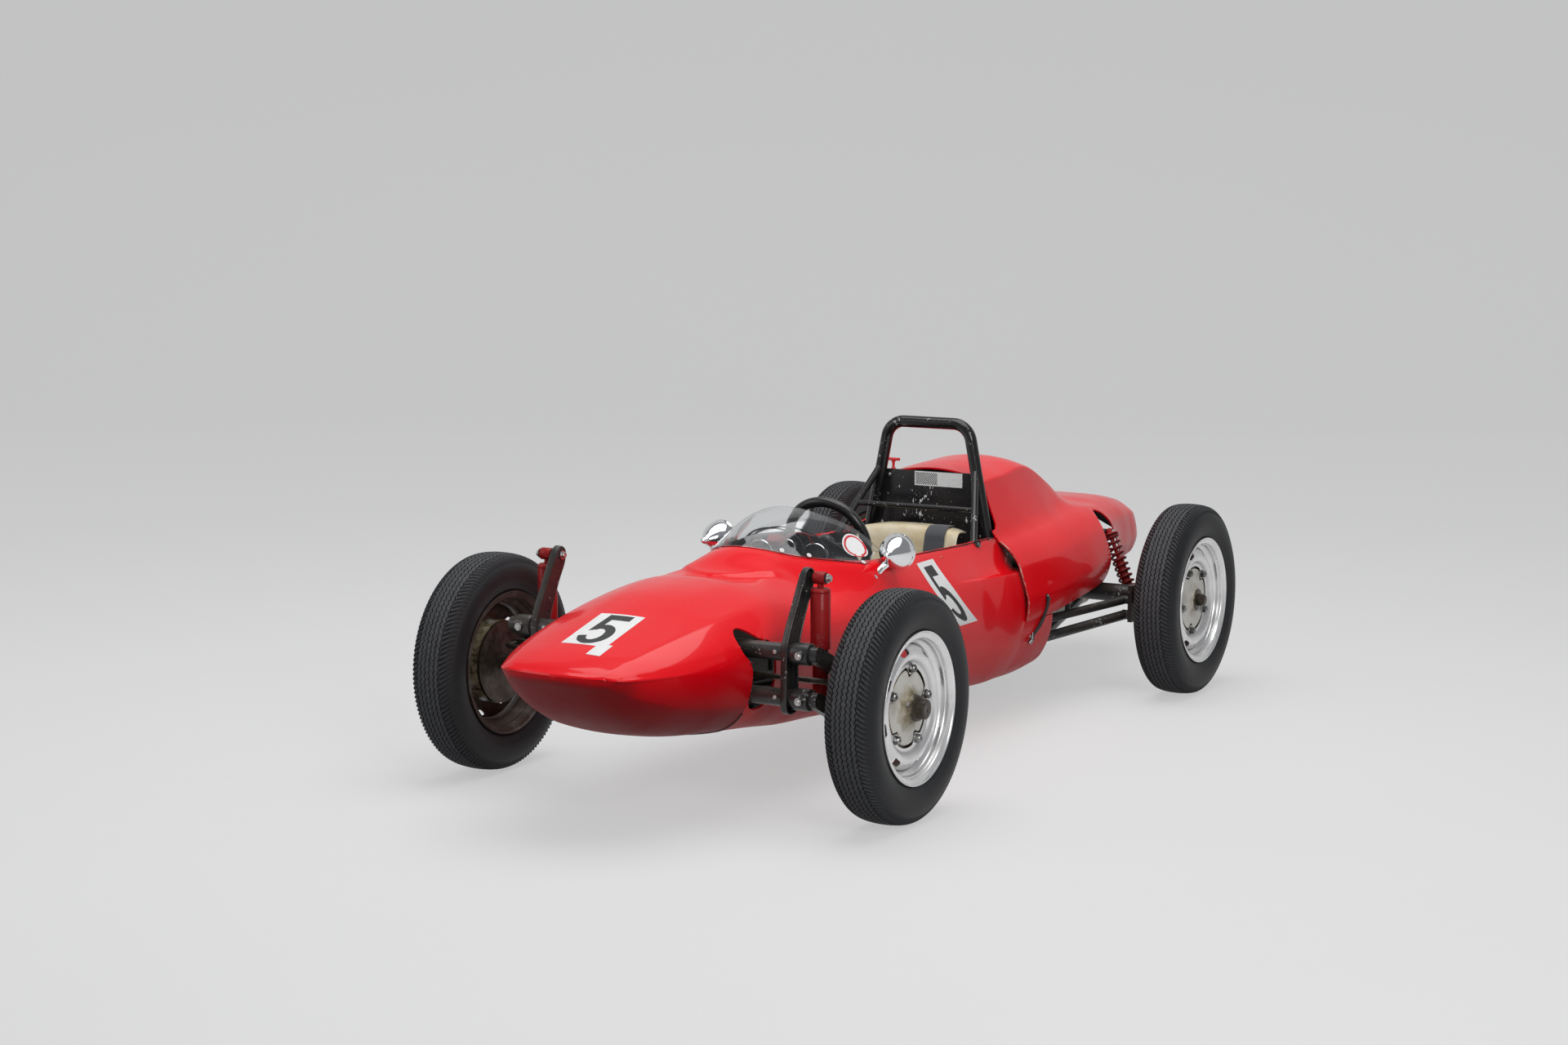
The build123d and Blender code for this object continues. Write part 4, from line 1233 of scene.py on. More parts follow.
NUMBER_BLACK = FlatPaint("number_black", (0.012, 0.012, 0.014, 1.0), (0.06, 0.06, 0.06, 1.0), 0.02)
RING_RED = FlatPaint("ring_red", (0.62, 0.01, 0.02, 1.0), (0.7, 0.4, 0.4, 1.0), 0.02)
GRIP = WornBlack("rim_grip", (0.012, 0.012, 0.013, 1.0), (0.03, 0.03, 0.03, 1.0), (0.1, 0.1, 0.1, 1.0), 0.0,
                 0.3, (0.18, 0.3))
DIAL = FlatPaint("dial_face", (0.014, 0.014, 0.015, 1.0), (0.04, 0.04, 0.04, 1.0), 0.0, (0.2, 0.35))
STRAP_RUBBER = FlatPaint("strap_rubber", (0.020, 0.019, 0.018, 1.0), (0.07, 0.065, 0.06, 1.0), 0.06,
                         (0.5, 0.7))


# ---- body -----------------------------------------------------------------------------
# y, keel z, bilge x z, chine x z, shoulder x z, rim x z, crown z, bows of side, deck and
# upper edge, roundings of bilge, chine, shoulder and rim, sweep of the sides backward
HULL = np.array([
    (-655, 431, 100, 432, 150, 436, 140, 439, 105, 440.5, 441.5, .02, .02, .02, 2, 2, 2, 12, 22),
    (-644, 414, 122, 416, 172, 435, 156, 442, 112, 444, 447, .05, .03, .03, 30, 4, 12, 20, 20),
    (-630, 398, 130, 402, 186, 434, 166, 446, 120, 451, 455, .09, .04, .04, 45, 4, 25, 30, 17),
    (-575, 338, 160, 352, 216, 433, 188, 459, 140, 471, 478, .09, .05, .04, 60, 6, 40, 50, 8),
    (-470, 268, 190, 292, 262, 432, 226, 474, 150, 500, 508, .09, .05, .04, 70, 9, 50, 60, 0),
    (-330, 226, 225, 260, 300, 432, 260, 490, 160, 533, 546, .09, .05, .04, 70, 14, 55, 60, 0),
    (-175, 204, 250, 246, 308, 430, 275, 504, 165, 566, 588, .09, .05, .04, 60, 24, 55, 60, 0),
    (0, 190, 245, 220, 318, 420, 285, 514, 175, 584, 606, .09, .05, .04, 50, 34, 55, 60, 0),
    (150, 181, 225, 191, 326, 411, 294, 514, 185, 580, 604, .09, .05, .01, 50, 36, 50, 50, 0),
    (290, 174, 232, 184, 332, 404, 300, 511, 162, 598, 656, .09, .05, -.05, 50, 34, 45, 40, 0),
    (430, 165, 236, 175, 336, 395, 304, 506, 206, 604, 660, .09, .05, -.03, 50, 30, 42, 30, 0),
    (566, 155, 240, 166, 340, 385, 308, 500, 258, 592, 645, .09, .05, .02, 50, 26, 40, 16, 0),
    (900, 128, 245, 140, 346, 362, 314, 486, 255, 577, 640, .09, .05, .02, 50, 18, 24, 12, 0),
    (1200, 105, 248, 118, 350, 334, 320, 474, 251, 570, 640, .09, .05, -.03, 50, 14, 9, 12, 0),
    (1446, 92, 248, 106, 352, 308, 326, 462, 249, 564, 640, .09, .05, -.12, 50, 12, 5, 12, 0),
    (1535, 94, 244, 112, 340, 312, 304, 456, 240, 556, 636, .09, .05, -.12, 50, 12, 5, 12, 0),
])
# y, crown z, crease x z, fold x z, bulge x z, hem x z, bow of bulge, fold and hump side,
# roundings of bulge, fold and crease
COVER = np.array([
    (1450, 768, 185, 735, 250, 560, 348, 430, 356, 304, .10, .12, -.03, 50, 18, 7),
    (1660, 783, 176, 744, 246, 572, 358, 430, 352, 307, .10, .12, -.03, 50, 30, 8),
    (1870, 774, 156, 747, 230, 584, 354, 450, 350, 325, .10, .12, -.03, 50, 34, 8),
    (2040, 692, 152, 680, 212, 592, 348, 468, 348, 345, .10, .12, -.03, 50, 30, 12),
    (2200, 604, 150, 599, 222, 588, 328, 476, 322, 362, .10, .12, -.03, 50, 20, 30),
    (2350, 598, 150, 594, 222, 574, 280, 470, 264, 374, .10, .12, .02, 50, 26, 40),
    (2550, 584, 130, 580, 192, 560, 242, 470, 226, 374, .10, .12, .04, 50, 30, 40),
    (2700, 556, 110, 550, 162, 530, 204, 474, 190, 390, .10, .12, .04, 40, 30, 40),
    (2770, 530, 78, 526, 118, 512, 150, 473, 142, 410, .10, .12, .04, 30, 20, 25),
    (2796, 505, 45, 503, 66, 496, 90, 470, 80, 430, .10, .12, .04, 15, 10, 10),
])
# openings of the skins in the side view, as y, z
BEAM_HOLE = [(-163, 284), (-165, 400), (-178, 430), (-198, 447), (-208, 470), (-205, 496), (-188, 512),
             (-164, 514), (-140, 502), (-112, 480), (-66, 470), (-54, 440), (-52, 284)]
SPRING_SLOT = [(2190, 574), (2160, 550), (2142, 520), (2138, 470), (2140, 415), (2120, 378), (2080, 342),
               (2040, 300), (2500, 300), (2470, 350), (2410, 412), (2350, 456), (2302, 502), (2278, 536),
               (2252, 562), (2222, 574)]


def smooth_outline(corners: Sequence[tuple[float, float]], per_side: int = 8, sharp: float = 0.5) -> Array:
    """Closed outline rounded at its corners.

    Each corner is a quadratic curve between the two points that lie a reach away from it
    along its sides; the reach is a share of the shorter side.

    Args:
        corners: Corners of the outline.
        per_side: Points on each curve.
        sharp: That share, 0.5 for curves that meet.

    Returns:
        Points, shape (N, 2), in the units of the corners.
    """
    p = np.asarray(corners, float)
    back, ahead = np.roll(p, 1, axis=0) - p, np.roll(p, -1, axis=0) - p
    shorter = np.minimum(np.linalg.norm(back, axis=1), np.linalg.norm(ahead, axis=1))
    reach = shorter[:, None] * sharp
    start, stop = p + unit(back) * reach, p + unit(ahead) * reach
    t = np.broadcast_to(np.linspace(0, 1, per_side), (len(p), per_side))
    return bezier(start, p, stop, t).reshape(-1, 2)


def corner_points(*pairs: tuple[Array, Array]) -> Array:
    """Corner points of sections from pairs of x and z columns, shape (U, C, 2)."""
    return np.stack([np.stack(pair, -1) for pair in pairs], 1)


def at_stations(flat: Array, y: Array) -> Array:
    """Section points (x, z) placed at their stations, shape (U, V, 3)."""
    return np.stack([flat[..., 0], np.broadcast_to(y[:, None], flat.shape[:2]), flat[..., 1]], -1)


def mirrored_on(half: Array) -> Array:
    """Whole sections: the given half, then its mirror image back from the middle."""
    return np.concatenate([half, half[:, -2::-1] * (-1.0, 1.0, 1.0)], 1)


def side_view(outline: Array) -> Array:
    """Outline of (y, z) millimetres in the frame's metres."""
    return (outline + (FRONT_AXLE_Y, 0.0)) * MM


def plan_view(outline: Array) -> Array:
    """Outline of (x, y) millimetres in the frame's metres."""
    return (outline + (0.0, FRONT_AXLE_Y)) * MM


class HullSkin:
    """Outer surface of nose and tub, from the table of sections."""

    edge_points = (8, 12, 34, 14, 24)
    ledge = np.array([(1000, 480), (1080, 477), (1437, 461), (1460, 460)], float)
    ledge_depth = 25.0
    crease_depth = 7.5
    bead_height = 1.8

    @staticmethod
    def half_rings(y: Array) -> Array:
        """Left half sections from keel to crown at the stations y, shape (U, V, 3).

        Args:
            y: Stations in millimetres.

        Returns:
            Points in millimetres; the sides are swept back by the table's sweep times
            the square of x over the chine's x.
        """
        t = through(HULL[:, 0], HULL[:, 1:], y)
        zero = np.zeros(len(y))
        corners = corner_points((zero, t[:, 0]), (t[:, 1], t[:, 2]), (t[:, 3], t[:, 4]), (t[:, 5], t[:, 6]),
                                (t[:, 7], t[:, 8]), (zero, t[:, 9]))
        bows = np.stack([zero, t[:, 10], t[:, 11], t[:, 12], zero], -1)
        reaches = np.stack([zero, t[:, 13], t[:, 14], t[:, 15], t[:, 16], zero], -1)
        flat = HullSkin.varied_path(corners, bows, reaches)
        flat = HullSkin.dented(flat, y, t[:, 4])
        sweep = np.maximum(t[:, 17], 0)[:, None] * (flat[..., 0] / t[:, 3][:, None]) ** 2
        return np.stack([flat[..., 0], y[:, None] + sweep, flat[..., 1]], -1)

    @staticmethod
    def dented(flat: Array, y: Array, chine: Array) -> Array:
        """Half sections with the hollow above the side's ledge and the crease under the screen.

        The hollow moves points inward by its depth, ramped along the car, just above the
        ledge's line and fades over the next 62 mm. The crease lowers the deck just before
        the plan curve y = 124 + x^2 / 250 and fades forward over 120 mm. The nose's lip
        carries a bead, outward by its height times exp(-(dz / 4)^2).

        Args:
            flat: Points (x, z) of the sections.
            y: Stations.
            chine: Height of the lip at each station.

        Returns:
            The moved points.
        """
        x, z = flat[..., 0], flat[..., 1]
        line = np.interp(y, HullSkin.ledge[:, 0], HullSkin.ledge[:, 1])[:, None]
        deep = HullSkin.ledge_depth * np.clip((y - 1035) / 380, 0, 1)[:, None]
        above = z - line
        hollow = deep * np.clip(above / 3.0, 0, 1) * np.clip(1 - above / 62.0, 0, 1) ** 1.5
        side = np.clip((x - 240) / 30, 0, 1)
        before = 124 + x**2 / 250 - y[:, None]
        wide = np.clip((196 - np.abs(x)) / 60, 0, 1) * np.clip((z - 520) / 30, 0, 1)
        ramp = np.clip(1 + before / 15, 0, 1)
        dip = HullSkin.crease_depth * wide * ramp**2 * (3 - 2 * ramp) * np.clip(1 - before / 120, 0, 1) ** 2
        fade = np.clip((-360 - y) / 120, 0, 1) * np.clip((y + 652) / 12, 0, 1)
        bead = HullSkin.bead_height * fade[:, None] * np.exp(-((z - chine[:, None]) / 4) ** 2)
        return np.stack([x - hollow * side + bead, z - dip], -1)

    @staticmethod
    def varied_path(corners: Array, bows: Array, reaches: Array) -> Array:
        """rounded_path with as many points on each edge as edge_points says.

        Args:
            corners: Corner points, shape (U, C, 2).
            bows: Bow of each edge, shape (U, C-1).
            reaches: Reach of each corner's rounding, shape (U, C).

        Returns:
            Points of each section, shape (U, V, 2).
        """
        most = max(HullSkin.edge_points)
        dense = rounded_path(corners, bows, reaches, (True, True), per_edge=most, per_corner=6)
        keep, start = [], 0
        for i, wanted in enumerate(HullSkin.edge_points):
            keep += (start + np.linspace(0, most - 1, wanted)).round(3).tolist()
            start += most
            if i < len(HullSkin.edge_points) - 1:
                keep += range(start, start + 6)
                start += 6
        keep = np.asarray(keep)
        low = np.floor(keep).astype(int)
        high = np.minimum(low + 1, dense.shape[1] - 1)
        share = (keep - low)[None, :, None]
        return dense[:, low] * (1 - share) + dense[:, high] * share

    @staticmethod
    def rings(y: Array) -> Array:
        """Whole sections: the left half from keel to crown, then its mirror image back."""
        return mirrored_on(HullSkin.half_rings(y))

    @staticmethod
    def top(x: Array, y: Array) -> Array:
        """Points of the deck over the grid of x columns and y rows, shape (Y, X, 3).

        Args:
            x: Distances from the middle, shape (X,).
            y: Stations, shape (Y,).

        Returns:
            Points in millimetres.
        """
        half = HullSkin.half_rings(y)
        start = HullSkin.edge_points[0] + HullSkin.edge_points[1] + 12
        z = np.stack([np.interp(np.abs(x), r[start:][::-1, 0], r[start:][::-1, 2]) for r in half])
        return np.stack(np.broadcast_arrays(x[None], y[:, None], z), -1)

    @staticmethod
    def flank(y: Array, z: Array) -> Array:
        """Points of the left side at paired (y, z), both of shape (R, C), rows of equal v.

        Args:
            y: Stations.
            z: Heights.

        Returns:
            Points in millimetres, shape (R, C, 3).
        """
        flat_y, flat_z = y.ravel(), z.ravel()
        half = HullSkin.half_rings(flat_y)
        x = np.array([np.interp(h, r[:, 2], r[:, 0]) for h, r in zip(flat_z, half)])
        return np.stack([x, flat_y, flat_z], -1).reshape(*y.shape, 3)


@dataclass
class BodyShell:
    """Nose cowl, cockpit tub with its undertray, and the humped engine cover."""

    wall: float = 6.0
    cover_wall: float = 5.0
    cockpit_half_width: float = 246.0
    tuck: float = 80.0
    deck_floor_z: float = 505.0
    hump_front_y: float = 1487.0

    def shell(self, name: str, points: Array, faces: Array, wall: float, node: Optional[str]) -> None:
        """A skin given its wall inward, dark laminate on the inside.

        Args:
            name: Name of the piece.
            points: Vertices in the frame's metres.
            faces: Quads, some with a repeated corner.
            wall: Thickness in millimetres.
            node: CAD node that it replaces, or None.
        """
        piece = add_mesh(name, points, tidy_faces(faces), RED, "chassis", "body_red", 32.0, 0.00005)
        normals = np.empty(len(piece.data.vertices) * 3)
        piece.data.vertices.foreach_get("normal", normals)
        # under: painted shade for faces that look down, full on the nose and half on the other skins
        lean = np.clip((0.16 - normals[2::3]) / 0.80, 0, 1)
        set_attribute(piece, "under", lean**2 * (3 - 2 * lean) * (1.0 if name == "nose_skin" else 0.5))
        thicken(piece, wall, -1.0, INSIDE)
        if node:
            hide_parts(node)

    def cockpit_outline(self) -> Array:
        """Plan of the opening: a curve just inside the screen's foot, then straight sides.

        Returns:
            Corners in the frame's metres, shape (N, 2).
        """
        half = np.array([(246.0, 640), (243, 590), (228, 530), (209, 490), (168, 415), (122, 358), (66, 316),
                         (0, 301)])
        whole = np.concatenate([half, half[-2::-1] * (-1, 1)])
        front = through(np.linspace(0, 1, len(whole)), whole, np.linspace(0, 1, 100))
        back = [(-self.cockpit_half_width, TUB_BACK_Y + 160), (self.cockpit_half_width, TUB_BACK_Y + 160)]
        return plan_view(np.concatenate([front, back]))

    def build_nose(self) -> None:
        """Duck-bill nose, its lip closed by a ring pressed flat."""
        y = np.concatenate([np.linspace(-652.5, -600, 12), np.linspace(-592, NOSE_SEAM_Y, 56)])
        rings = HullSkin.rings(y)
        lip = rings[:1].copy()
        lip[..., 1] -= 2.5
        lip[..., 2] = lip[..., 2].mean()
        grid = row(np.concatenate([lip, rings]))
        points, faces = grid.reshape(-1, 3), grid_faces(*grid.shape[:2])
        hole = side_view(smooth_outline(BEAM_HOLE))
        points, faces = cut_hole(points, faces, surface_normals(grid).reshape(-1, 3), (1, 2), hole, 0.006)
        self.shell("nose_skin", points, faces, self.wall, "nose_cowl")

    def build_tub(self) -> None:
        """Cockpit tub with its opening and the beam's holes."""
        stations = [np.linspace(NOSE_SEAM_Y, 90, 24), np.linspace(97, 335, 35),
                    np.linspace(347, TUB_BACK_Y, 80), np.linspace(TUB_BACK_Y + 12, TUB_BACK_Y + self.tuck,
                                                                  6)]
        grid = row(HullSkin.rings(np.concatenate(stations)))
        points, faces = grid.reshape(-1, 3), grid_faces(*grid.shape[:2])
        normals = surface_normals(grid).reshape(-1, 3)
        hole = side_view(smooth_outline(BEAM_HOLE))
        points, faces = cut_hole(points, faces, normals, (1, 2), hole, 0.007)
        above = points[:, 2] > self.deck_floor_z * MM
        points, faces = cut_hole(points, faces, normals, (0, 1), self.cockpit_outline(), 0.007, above)
        self.shell("tub_skin", points, faces, self.wall, "cockpit_tub")

    def build_undertray(self) -> None:
        """Open trough behind the tub, cut off on a rake."""
        y = np.linspace(TUB_BACK_Y + 0.5, 1750, 40)
        t = through(np.array([1446.0, 1600, 1750]), np.array([
            (92, 248, 106, 352, 304.0), (90, 247, 104, 351, 302), (98, 242, 112, 346, 296)]), y)
        zero = np.zeros(len(y))
        corners = corner_points((zero, t[:, 0]), (t[:, 1], t[:, 2]), (t[:, 3], t[:, 4]))
        half = rounded_path(corners, np.full((len(y), 2), 0.08), np.array([[0, 50, 0.0]]).repeat(len(y), 0),
                            (True, False), per_edge=22)
        half = at_stations(half, y)
        grid = row(np.concatenate([half[:, ::-1] * (-1, 1, 1), half[:, 1:]], 1))
        rake = side_view(np.array([(1655.0, 330), (1900, 330), (1900, 60), (1756, 60)]))
        points, faces = cut_hole(grid.reshape(-1, 3), grid_faces(*grid.shape[:2]),
                                 surface_normals(grid).reshape(-1, 3), (1, 2), rake, 0.006)
        self.shell("undertray_skin", points, faces, self.wall, None)

    def cover_rings(self, y: Array) -> Array:
        """Arched sections of the engine cover from the right hem over to the left one.

        Args:
            y: Stations in millimetres.

        Returns:
            Points in millimetres, shape (U, V, 3).
        """
        t = through(COVER[:, 0], COVER[:, 1:], y)
        zero = np.zeros(len(y))
        corners = corner_points((t[:, 7], t[:, 8]), (t[:, 5], t[:, 6]), (t[:, 3], t[:, 4]),
                                (t[:, 1], t[:, 2]), (zero, t[:, 0]))
        bows = np.stack([t[:, 9], t[:, 10], t[:, 11], zero], -1)
        reaches = np.stack([zero, t[:, 12], t[:, 13], t[:, 14], zero], -1)
        half = rounded_path(corners, bows, reaches, (False, True), per_edge=15)
        return mirrored_on(at_stations(half, y))

    def build_cover(self) -> None:
        """Engine cover with its spring slots; the tail closes on a small flat ring."""
        y = np.concatenate([np.linspace(1450, 2700, 108), np.linspace(2708, 2796, 14)])
        rings = self.cover_rings(y)
        tail = rings[-1:].copy()
        middle = np.array([0.0, 0.0, 468.0])
        caps = [middle * (1 - s) + tail * (s, 1.0, s) + (0.0, rise, 0.0)
                for s, rise in ((0.96, 2.5), (0.8, 3.6), (0.4, 4.0), (0.02, 4.0))]
        grid = row(np.concatenate([rings, *caps]))
        points, faces = grid.reshape(-1, 3), grid_faces(*grid.shape[:2])
        normals = surface_normals(grid).reshape(-1, 3)
        slot = side_view(smooth_outline(SPRING_SLOT, 8, 0.45))
        points, faces = cut_hole(points, faces, normals, (1, 2), slot, 0.006)
        hump = self.hump_front_y
        step = side_view(smooth_outline([(1400, 900), (1400, 588), (1440, 588), (hump - 12, 590),
                                         (hump, 606), (hump, 900)], 6, 0.4))
        points, faces = cut_hole(points, faces, normals, (1, 2), step, 0.006)
        self.shell("cover_skin", points, faces, self.cover_wall, "engine_cover")

    def build(self) -> None:
        """Make every skin of the body."""
        self.build_nose()
        self.build_tub()
        self.build_undertray()
        self.build_cover()


# ---- studio ---------------------------------------------------------------------------
@dataclass(frozen=True)
class StudioPaint(Finish):
    """Pale even paint of the studio's floor and wall, lifted for the rays that see it."""

    colour: Colour = (0.27, 0.27, 0.27, 1.0)
    lift: float = 0.47

    def dress(self, graph: Graph, shader: bpy.types.Node) -> None:
        """Matt colour with a faint cloud, and a glow for camera, glossy and glass rays.

        Args:
            graph: Graph of the material's nodes.
            shader: Its Principled node.
        """
        place = graph.place()
        graph.feed(shader.inputs["Base Color"],
                   graph.blend(graph.noise(place, 0.8), self.colour, (0.255, 0.255, 0.26, 1.0)))
        shader.inputs["Roughness"].default_value = 0.75
        path = graph.add("LightPath")
        seen = graph.math("MAXIMUM", path.outputs["Is Camera Ray"],
                          graph.math("MAXIMUM", path.outputs["Is Glossy Ray"],
                                     path.outputs["Is Transmission Ray"]))
        shader.inputs["Emission Color"].default_value = (1.0, 1.0, 1.0, 1.0)
        graph.feed(shader.inputs["Emission Strength"], graph.span(seen, 0.0, 1.0, 0.0, self.lift))


@dataclass
class Studio:
    """Floor swept up into a backdrop, soft lamps, a pale world and the camera."""

    camera_place: tuple[float, float, float] = (3.9399, -7.4075, 1.7349)
    yaw: float = 29.84
    pitch: float = 7.45
    roll: float = 0.2
    lens: float = 63.0
    sensor: float = 36.0
    floor_start: float = -40.0
    sweep_start: float = 9.0
    sweep_radius: float = 2.5
    wall_height: float = 14.0
    reach: float = 45.0

    def build_floor(self) -> None:
        """Sheet that is flat, then a quarter circle, then upright behind the car.

        It is turned to face the camera: point = ahead * f + right * r + up * h, with h
        rising along the quarter circle from where f passes the sweep's start.
        """
        bend = np.linspace(0, math.pi / 2, 24)
        wall = self.sweep_start + self.sweep_radius
        sweep = self.sweep_start + self.sweep_radius * np.sin(bend)
        forward = np.concatenate([[self.floor_start], sweep, [wall]])
        height = np.concatenate([[0.0], self.sweep_radius * (1 - np.cos(bend)), [self.wall_height]])
        across = np.linspace(-self.reach, self.reach, 2)
        yaw = math.radians(self.yaw)
        ahead = np.array((-math.sin(yaw), math.cos(yaw), 0.0))
        right = np.array((math.cos(yaw), math.sin(yaw), 0.0))
        grid = (forward[:, None, None] * ahead + across[None, :, None] * right
                + height[:, None, None] * np.array((0.0, 0.0, 1.0)))
        mesh = bpy.data.meshes.new("studio_floor")
        mesh.from_pydata(grid.reshape(-1, 3).tolist(), [], grid_faces(*grid.shape[:2])[:, ::-1].tolist())
        mesh.shade_smooth()
        floor = bpy.data.objects.new("studio_floor", mesh)
        bpy.context.scene.collection.objects.link(floor)
        mesh.materials.append(StudioPaint("studio_paint").material())

    def lamp(self, name: str, place: Sequence[float], size: float, power: float) -> None:
        """Square area lamp that looks at the car's middle.

        Args:
            name: Name of the lamp.
            place: Its place in metres.
            size: Its side in metres.
            power: Its power in watts.
        """
        light = bpy.data.lights.new(name, "AREA")
        light.shape, light.size, light.energy = "SQUARE", size, power
        lamp = bpy.data.objects.new(name, light)
        lamp.location = place
        lamp.rotation_euler = (Vector((0.0, 0.0, 0.4)) - Vector(place)).to_track_quat("-Z", "Y").to_euler()
        bpy.context.scene.collection.objects.link(lamp)

    def build_light(self) -> None:
        """One large lamp above, one from the camera's side, and an even pale world."""
        self.lamp("top_lamp", (0.2, -0.2, 4.6), 4.2, 150.0)
        self.lamp("key_lamp", (4.6, -4.6, 3.3), 2.4, 125.0)
        self.lamp("fill_lamp", (-4.5, -4.5, 3.0), 3.0, 45.0)
        world = bpy.data.worlds.new("studio_world")
        bpy.context.scene.world = world
        world.use_nodes = True
        graph = Graph(world.node_tree)
        path = graph.add("LightPath")
        seen = graph.math("MAXIMUM", path.outputs["Is Camera Ray"],
                          graph.math("MAXIMUM", path.outputs["Is Glossy Ray"],
                                     path.outputs["Is Transmission Ray"]))
        background = world.node_tree.nodes["Background"]
        background.inputs["Color"].default_value = (0.93, 0.95, 1.0, 1.0)
        graph.feed(background.inputs["Strength"], graph.span(seen, 0.0, 1.0, 0.30, 0.26))

    def build_camera(self) -> None:
        """Camera by its place and its yaw, pitch and roll."""
        yaw, pitch, roll = (math.radians(v) for v in (self.yaw, self.pitch, self.roll))
        ahead = Vector((-math.sin(yaw) * math.cos(pitch), math.cos(yaw) * math.cos(pitch), -math.sin(pitch)))
        right = Vector((math.cos(yaw), math.sin(yaw), 0.0))
        up = right.cross(ahead)
        turned_right = right * math.cos(roll) + up * math.sin(roll)
        turned_up = up * math.cos(roll) - right * math.sin(roll)
        camera_data = bpy.data.cameras.new("view_camera")
        camera_data.lens, camera_data.sensor_width = self.lens, self.sensor
        camera = bpy.data.objects.new("view_camera", camera_data)
        turn = Matrix((turned_right, turned_up, -ahead)).transposed()
        camera.matrix_world = Matrix.Translation(self.camera_place) @ turn.to_4x4()
        bpy.context.scene.collection.objects.link(camera)
        bpy.context.scene.camera = camera

    def build(self) -> None:
        """Set up floor, light, camera and the colour view."""
        self.build_floor()
        self.build_light()
        self.build_camera()
        bpy.context.scene.view_settings.view_transform = "Standard"


# ---- wheels ---------------------------------------------------------------------------
@dataclass(frozen=True)
class WheelPlace:
    """Where a wheel stands, and the turn of its bolts and slots in degrees."""

    axle: str
    side: Side
    bolt_degrees: float
    slot_degrees: float

    @property
    def front(self) -> bool:
        """Whether it is a front wheel."""
        return self.axle == "front"

    @property
    def label(self) -> str:
        """Axle and side as node names end with them."""
        return f"{self.axle}_{self.side.label}"

    @property
    def body(self) -> str:
        """CAD body of the wheel."""
        return "wheel_" + self.label

    @property
    def centre(self) -> Array:
        """Centre of the same axle's left wheel in millimetres; sided() mirrors it."""
        half_track, y = (FRONT_HALF_TRACK, 0.0) if self.front else (REAR_HALF_TRACK, WHEELBASE)
        return np.array((half_track, y, TYRE_RADIUS))

    @property
    def bolt_turn(self) -> float:
        """Angle of the first bolt in radians."""
        return math.radians(self.bolt_degrees)

    @property
    def slot_turn(self) -> float:
        """Angle of the first slot in radians."""
        return math.radians(self.slot_degrees)


